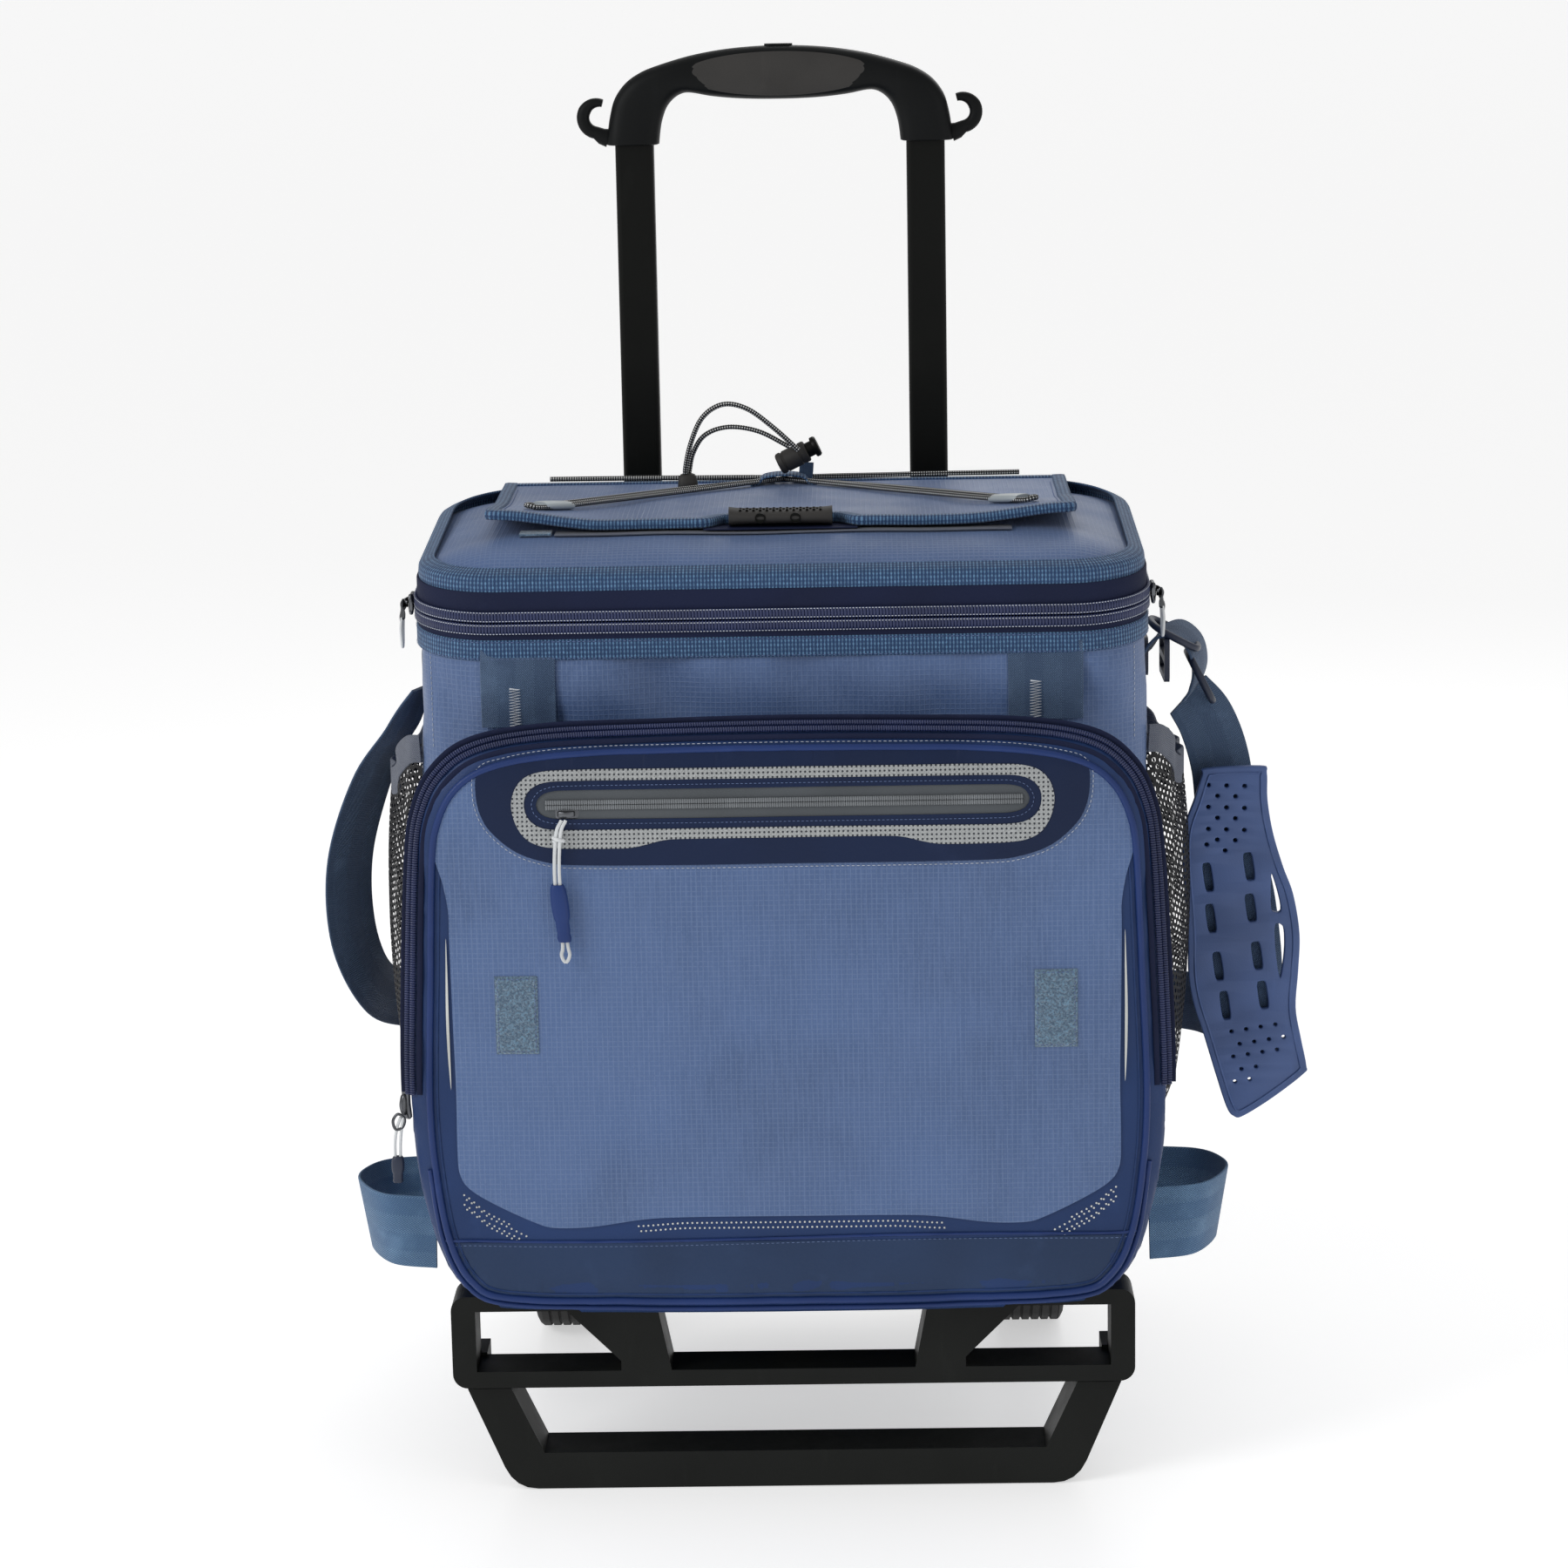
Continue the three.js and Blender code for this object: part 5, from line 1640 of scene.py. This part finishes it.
def side_stitching():
    """The stitched seam down each front corner, and the piping round the base."""
    for name, sign in SIDES:
        line = []
        for z in np.linspace(BAG_BOTTOM + 330, 512, 30):
            hit = bag_hit((sign * 208.5, BODY_RAY_Y, z), (0, 1, 0))
            if hit is not None:
                line.append((hit[0], hit[1] - 0.3, hit[2]))
        place(stitches(f"corner_stitch_{name}", line, (0, -1, 0), thread_pale, 3.2, 0.3), "bag", "ripstop")
    plan = ring_plan(BAG_HALF + 0.6, -0.6, BAG_BACK + 0.2, BAG_CORNER, BAG_CORNER)
    sides = [(x, y, base_edge_z(y)) for x, y in plan if y > 18]
    gap = max(range(1, len(sides)), key=lambda i: math.dist(sides[i - 1], sides[i]))
    line = evenly(sides[gap:] + sides[:gap], 4)
    place(tube("base_piping", line, 1.7, piping_navy, 8), "bag", "navy_trim")


def net_point(s, t, sign):
    """A point of a side pocket's net: s runs back along the bag and t up the pocket."""
    y = mesh_low[1] + (mesh_high[1] - mesh_low[1]) * s
    top = mesh_high[2] + 30 * smoothstep(0.28, 0.0, s) + 10 * smoothstep(0.8, 1.0, s)
    z = mesh_low[2] + (top - mesh_low[2]) * t
    depth = mesh_high[0] - BAG_HALF - 2
    round_out = max(0.0, math.sin(math.pi * s)) ** 0.55
    swell = 0.30 + 0.70 * math.sin(math.pi * min(1.0, 0.12 + 0.62 * t))
    gather = 1.6 * math.sin(s * 40 + 3 * t) * (0.4 + 0.6 * t) * round_out
    x = BAG_HALF + 1.4 + depth * round_out * swell * (0.2 + 0.8 * smoothstep(-0.02, 0.16, t)) + gather
    return np.array((sign * min(x, mesh_high[0] + 1), y, z))


def net(sign, side):
    """A side pocket of knitted netting, in real hexagonal cells, with its elastic top and its hem."""
    wide = (mesh_high[1] - mesh_low[1]) * 1.12
    tall = mesh_high[2] - mesh_low[2]
    cell = 4.6
    hole = 0.56
    corner = cell / math.sqrt(3)
    row_pitch = cell * 0.866
    spots = {}
    points = []
    faces = []

    def vertex(u, v, key=None):
        mark = key or (round(u, 2), round(v, 2))
        if mark not in spots:
            spots[mark] = len(points)
            points.append(net_point(min(max(u / wide, 0), 1), min(max(v / tall, 0), 1), sign))
        return spots[mark]
    for r in range(int(tall / row_pitch) + 1):
        for c in range(int(wide / cell) + 1):
            cu = (c + 0.5 * (r % 2)) * cell
            cv = r * row_pitch
            corners = [(cu + corner * math.sin(math.pi / 3 * k), cv + corner * math.cos(math.pi / 3 * k))
                       for k in range(6)]
            outside = [vertex(u, v) for u, v in corners]
            inside = [vertex(cu + (u - cu) * hole, cv + (v - cv) * hole, (r, c, k))
                      for k, (u, v) in enumerate(corners)]
            for k in range(6):
                n = (k + 1) % 6
                if len({outside[k], outside[n]}) == 2:
                    faces.append((outside[k], outside[n], inside[n], inside[k]))
    obj = shape(f"side_pocket_{side}_net", points, faces, net_black, sharp=80)
    place(obj, "bag", "mesh", f"side_pocket_{side}")
    for name, t, height, rise, material in (("elastic", 1.0, 17, -3.4, elastic_grey),
                                            ("hem", 0.0, 10, 2, tape_navy)):
        line = evenly([net_point(s, t, sign) + (sign * 0.6, 0, rise) for s in np.linspace(0, 1, 50)], 4)
        tape = ribbon(f"side_pocket_{side}_{name}", line, (0, 0, 1), height, 1.6, material)
        place(tape, "bag", "navy_trim")


def side_loop(sign, side):
    """The webbing grab loop low on the bag's side."""
    x = BAG_HALF + 1.5
    plan = [(x, 20, 152), (x + 30, 27, 153), (x + 46, 52, 154.5), (x + 45, 74, 154.5), (x + 32, 96, 153),
            (x, 106, 152)]
    line = evenly(spline([(sign * a, b, c) for a, b, c in plan], 8), 3.0)
    lean = (0.16 * sign, 0, 1)
    # the loop's webbing is the brighter copy, with painted light
    place(ribbon(f"side_loop_{side}_webbing", line, lean, 46, 1.8, painted_lit_webbing), "bag", "webbing",
          f"side_loop_{side}")


strap_route = [
    (-227, 132, 470), (-238, 132, 448), (-258, 134, 416), (-276, 140, 362), (-278, 152, 310),
    (-268, 178, 268), (-254, 226, 246), (-224, 262, 236), (-160, 268, 228), (0, 269, 222), (160, 268, 226),
    (224, 262, 230),
    (262, 226, 236), (286, 180, 240), (294, 154, 262), (288, 148, 320), (276, 146, 372), (271, 143, 412),
    (262, 138, 440), (250, 135, 458)]
strap_across = [
    (0.2, 1, 0), (0.6, 0.9, 0.2), (0.75, 0.8, 0.3), (0.75, 0.8, 0.1), (0.7, 0.8, 0.2), (0.4, 0.7, 0.6),
    (0, 0.3, 1), (0, 0, 1),
    (0, 0, 1), (0, 0, 1), (0, 0, 1), (0, 0, 1), (0, 0.3, 1), (0.3, 0.4, 0.8), (0.9, 0.3, 0.2), (1, 0.1, 0),
    (1, 0.1, 0.1), (0.95, 0.15, 0.2), (0.85, 0.3, 0.45), (0.7, 0.6, 0.45)]


def shoulder_strap():
    """The shoulder strap, hung round behind the bag from ring to ring, with its tabs, fold and loops."""
    line = spline(strap_route, 10)
    across = spline(strap_across, 10)
    place(ribbon("shoulder_strap_webbing", line, across, STRAP_WIDTH, 1.9, webbing), "bag", "webbing",
          "shoulder_strap")
    for name, sign in SIDES:
        start = np.array((sign * (BAG_HALF + 1.2), RING_Y, 512))
        steps = ((0, 0), (1.5, -12), (4.5, -24), (1.2, -38), (0, -52))
        line = spline([start + (sign * away, 0, down) for away, down in steps], 7)
        place(ribbon(f"ring_tab_{name}", line, (0, 1, 0), 22, 1.7, webbing), "bag", "webbing")
    fold = spline([(224, 132, 486), (232, 131, 497), (244, 131, 499), (254, 132, 490), (257, 133, 476),
                   (254, 134, 464), (248, 134, 455)], 7)
    place(ribbon("strap_fold", fold, (0.3, 0.9, 0.1), STRAP_WIDTH - 2, 1.8, webbing), "bag", "webbing")
    for name, x, z, turn in (("upper", 241, 497, 0.5), ("lower", 257, 470, 1.1)):
        near = np.array((x - 13 * math.cos(turn), 116, z + 13 * math.sin(turn)))
        far = np.array((x + 13 * math.cos(turn), 116, z - 13 * math.sin(turn)))
        loop = spline([near, far, far + (0, 34, 0), near + (0, 34, 0)], 8, True)
        place(tube(f"strap_buckle_{name}", loop, 2.3, buckle_plastic, 10, True), "bag", "buckle")


def plate(name, loops, thickness, bevel, depth, material):
    """A flat moulded plate in the XZ plane from closed outlines, the later ones holes."""
    curve = bpy.data.curves.new(name, "CURVE")
    curve.dimensions = "2D"
    curve.fill_mode = "BOTH"
    curve.extrude = (thickness / 2 - bevel) * MM
    curve.bevel_depth = bevel * MM
    curve.bevel_resolution = 2
    for points in loops:
        line = curve.splines.new("POLY")
        line.points.add(len(points) - 1)
        line.use_cyclic_u = True
        for at, (x, _, z) in zip(line.points, points):
            at.co = (x * MM, z * MM, 0, 1)
    flat = bpy.data.objects.new(name + "_outline", curve)
    scene.collection.objects.link(flat)
    mesh = bpy.data.meshes.new_from_object(flat.evaluated_get(bpy.context.evaluated_depsgraph_get()))
    bpy.data.objects.remove(flat)
    mesh.transform(Matrix(((1, 0, 0, 0), (0, 0, -1, depth * MM), (0, 1, 0, 0), (0, 0, 0, 1))))
    mesh.materials.clear()
    mesh.materials.append(material)
    work = bmesh.new()
    work.from_mesh(mesh)
    bmesh.ops.remove_doubles(work, verts=work.verts, dist=1e-6)
    bmesh.ops.recalc_face_normals(work, faces=work.faces)
    work.to_mesh(mesh)
    work.free()
    mesh.polygons.foreach_set("use_smooth", [True] * len(mesh.polygons))
    mesh.set_sharp_from_angle(angle=math.radians(45))
    mesh.name = name
    obj = bpy.data.objects.new(name, mesh)
    scene.collection.objects.link(obj)
    return obj


def circle(x, z, radius, count=16):
    """A round outline in the XZ plane."""
    return [(x + radius * math.cos(a), 0, z + radius * math.sin(a))
            for a in np.linspace(0, 2 * math.pi, count, endpoint=False)]


def slanted_slot(x, z, width, height, lean):
    """A soft-cornered slot, leaning by lean radians."""
    points = []
    for u, v in rounded_section(4, 28):
        a = u * width / 2
        b = v * height / 2
        points.append((x + a * math.cos(lean) + b * math.sin(lean), 0,
                       z - a * math.sin(lean) + b * math.cos(lean)))
    return points


def shoulder_pad():
    """The moulded rubber pad, curved on the bag but built as a flat plate, with round holes, slots for the
    strap and two vents.
    """
    edge = [(259, 408), (262, 411.5), (294, 412.5), (297.5, 409), (298, 392), (301.5, 371), (308, 349),
            (314.5, 331), (318.6, 306), (318, 282), (316.6, 258), (320, 238), (323.6, 220), (322, 215),
            (303, 200), (285, 188.5), (279.5, 188), (275, 194), (268, 216), (260, 243), (254, 262),
            (251, 280), (250.6, 306), (249, 330), (247.2, 352), (248, 374), (254, 392)]
    loops = [spline([(x, 0, z) for x, z in edge], 5, True)]
    for row in range(6):
        for k in range(3 if row % 2 == 0 else 2):
            x = 262 + 11.2 * k + (5.6 if row % 2 else 0)
            loops.append(circle(x, 402 - 7.0 * row - 0.5 * k, 2.25))
    for x, z in ((261, 372), (272.5, 368)):
        loops.append(circle(x, z - 8, 2.25))
    for row in range(5):
        for k in range(4 if row < 3 else 2):
            x = 277 + 9.2 * k + 2.1 * row + (4.6 if row % 2 else 0)
            if x < 317 - 1.5 * row:
                loops.append(circle(x - 1.5 * row, 243 - 8.2 * row + 1.4 * k, 2.1))
    lean = -0.14
    for index, (x, z) in enumerate(((262, 343), (263.8, 316.5), (268.5, 285.5), (273, 260))):
        loops.append(slanted_slot(x, z, 7.2, 20.5, lean))
        loops.append(slanted_slot(x + 25.5 - 0.6 * index, z + 6.5, 7.6, 20, lean))
    upper = [(301, 346), (305, 338), (308.5, 321), (302.5, 319.5), (300.5, 325)]
    lower = [(303, 311), (309.5, 311.5), (311, 300), (310, 286), (307.8, 276.5), (305, 284)]
    for vent in (upper, lower):
        loops.append(spline([(x, 0, z) for x, z in vent], 5, True))
    obj = plate("shoulder_pad_moulded", loops, 5.0, 0.9, 128.5, pad_rubber)
    place(obj, "bag", "pad_rubber", "shoulder_pad")
    rim = evenly(inset(evenly(loops[0], 3, True), 3.2), 3.0, True) + (0, 126.2, 0)
    place(tube("shoulder_pad_rim", rim, 0.8, pad_rubber, 6, True), "bag", "pad_rubber")
    back = spline([(276, 133.5, 402), (273, 133.5, 360), (276, 133.5, 316), (281, 133.5, 280),
                   (288, 134, 244), (294, 139, 212)], 8)
    across = unit(np.array([(1, 0, 0.12)]) + np.zeros((len(back), 3)))
    place(ribbon("shoulder_pad_strap", back, across, STRAP_WIDTH, 1.8, webbing), "bag", "webbing")


def rear_sleeve():
    """The wide webbing loop that holds the bag to the two tubes."""
    half_x = (sleeve_high[0] - sleeve_low[0]) / 2 - 1.2
    plan = ring_plan(half_x, sleeve_low[1] + 1.2, sleeve_high[1] - 1.2, 9, 9)
    line = evenly([(x, y, (sleeve_low[2] + sleeve_high[2]) / 2) for x, y in plan], 4, True)
    height = sleeve_high[2] - sleeve_low[2]
    sleeve = ribbon("rear_sleeve_webbing", line, (0, 0, 1), height, 2.0, webbing, True)
    place(sleeve, "bag", "webbing", "rear_sleeve")


def zip_sliders():
    """The two lid sliders and the pocket's side slider, each with its pull."""
    tab_steps = ((4.2, -2, 0), (5.2, -7, -3), (4.6, -13, -9))
    pull_steps = ((5.0, -12, -8), (5.6, -15, -14), (5.2, -16, -22), (5.0, -14.6, -25), (4.8, -13.2, -22),
                  (4.6, -12.6, -14), (4.4, -12, -9))
    for name, sign in SIDES:
        body = f"lid_slider_{name}"
        centre = (slider_low + slider_high) / 2 * (sign, 1, 1)
        slider(f"{body}_cast", centre, 17, 13, 5.2, (0, 1, SEAM_SLOPE), (sign, 0, 0), body, body)
        tab, pull = [spline([centre + np.array(step) * (sign, 1, 1) for step in steps], 6)
                     for steps in (tab_steps, pull_steps)]
        place(ribbon(f"{body}_tab", tab, (0, 0.6, 0.8), 5.5, 1.6, gunmetal), body, "slider_metal")
        place(tube(f"{body}_pull", pull, 1.0, pull_cord, 8), body, "pull_cord")
    centre = (side_slider_low + side_slider_high) / 2 + (0.5, -1.5, 0)
    slider("pocket_zip_slider_cast", centre, 19, 9, 4.6, (0, 0, 1), (-0.7, -0.7, 0), "pocket_zip",
           "pocket_zip_slider")
    top = centre + (-3.4, -3.4, -8)
    route = [top + step for step in ((0, 0, 0), (-2.4, -0.4, -7), (-3.8, -0.2, -16), (-3.6, 0, -27),
                                     (-1.2, 0, -27), (-0.6, -0.2, -16), (0.4, -0.4, -7), (1.8, 0, 0))]
    wire = spline([top + step for step in ((-1.5, 0, 2), (-4.5, -0.5, -2), (-3, -1, -7), (1, -0.5, -6),
                                           (2.4, 0, -1))], 6, True)
    ring = tube("pocket_zip_ring", wire, 0.9, gunmetal, 8, True)
    place(ring, "pocket_zip", "slider_metal")
    cap = cord_sleeve("pocket_zip_cap", top + (-2.4, 0, -24), top + (-2.8, 0, -40), 3.9, 3.0, buckle_plastic)
    place(cap, "pocket_zip", "buckle")
    free_cord("pocket_zip_cord", route, 0.9, pull_cord, "pocket_zip", "pull_cord")


front_straps()
side_stitching()
for side_name, sign in SIDES:
    net(sign, side_name)
    side_loop(sign, side_name)
shoulder_strap()
shoulder_pad()
rear_sleeve()
zip_sliders()
dress(buckle_plastic, 1.1, "tri_glide", "side_ring_left", "side_ring_right")


def press_spring():
    """The coil spring under the release button, built at one fixed length; the real one shortens as the
    button goes in.
    """
    low, high = box_mm("button_spring")
    middle = (low + high) / 2
    wire = 0.55
    radius = (high[0] - low[0]) / 2 - wire
    turns = 5
    height = high[2] - low[2]
    line = []
    for k in np.linspace(0, 1, 100):
        a = 2 * math.pi * turns * k
        line.append((middle[0] + radius * math.cos(a), middle[1] + radius * math.sin(a),
                     low[2] + wire + (height - 2 * wire) * k))
    obj = place(tube("button_spring_coil", line, wire, steel, 6), "handle", "steel", "button_spring")
    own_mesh(obj)


press_spring()


# ---------------------------------------------------------------- floor, lights and finish
def stage():
    """A pale floor, and large soft lights like a product studio's."""
    mesh = bpy.data.meshes.new("floor")
    half = 60.0
    corners = [(-half, -half, 0), (half, -half, 0), (half, half, 0), (-half, half, 0)]
    mesh.from_pydata(corners, [], [(0, 1, 2, 3)])
    mesh.materials.append(floor_material())
    floor = bpy.data.objects.new("floor", mesh)
    floor.location.z = -0.0005
    scene.collection.objects.link(floor)
    world = bpy.data.worlds.new("studio")
    world.use_nodes = True
    background = world.node_tree.nodes["Background"]
    background.inputs[0].default_value = (1, 1, 1, 1)
    background.inputs[1].default_value = 0.5
    scene.world = world
    scene.view_settings.view_transform = "Standard"
    lights = [("key", (-1.9, -1.3, 1.6), 1.1, 24), ("fill", (1.9, -1.5, 1.0), 1.6, 5),
              ("top", (0.2, 0.4, 2.6), 1.8, 3), ("back", (0.6, 2.0, 1.8), 1.6, 9)]
    for name, spot, size, power in lights:
        light = bpy.data.lights.new(name, "AREA")
        light.size = size
        light.energy = power
        obj = bpy.data.objects.new(name, light)
        obj.location = spot
        obj.rotation_euler = (Vector((0, 0.1, 0.4)) - Vector(spot)).to_track_quat("-Z", "Y").to_euler()
        scene.collection.objects.link(obj)


stage()
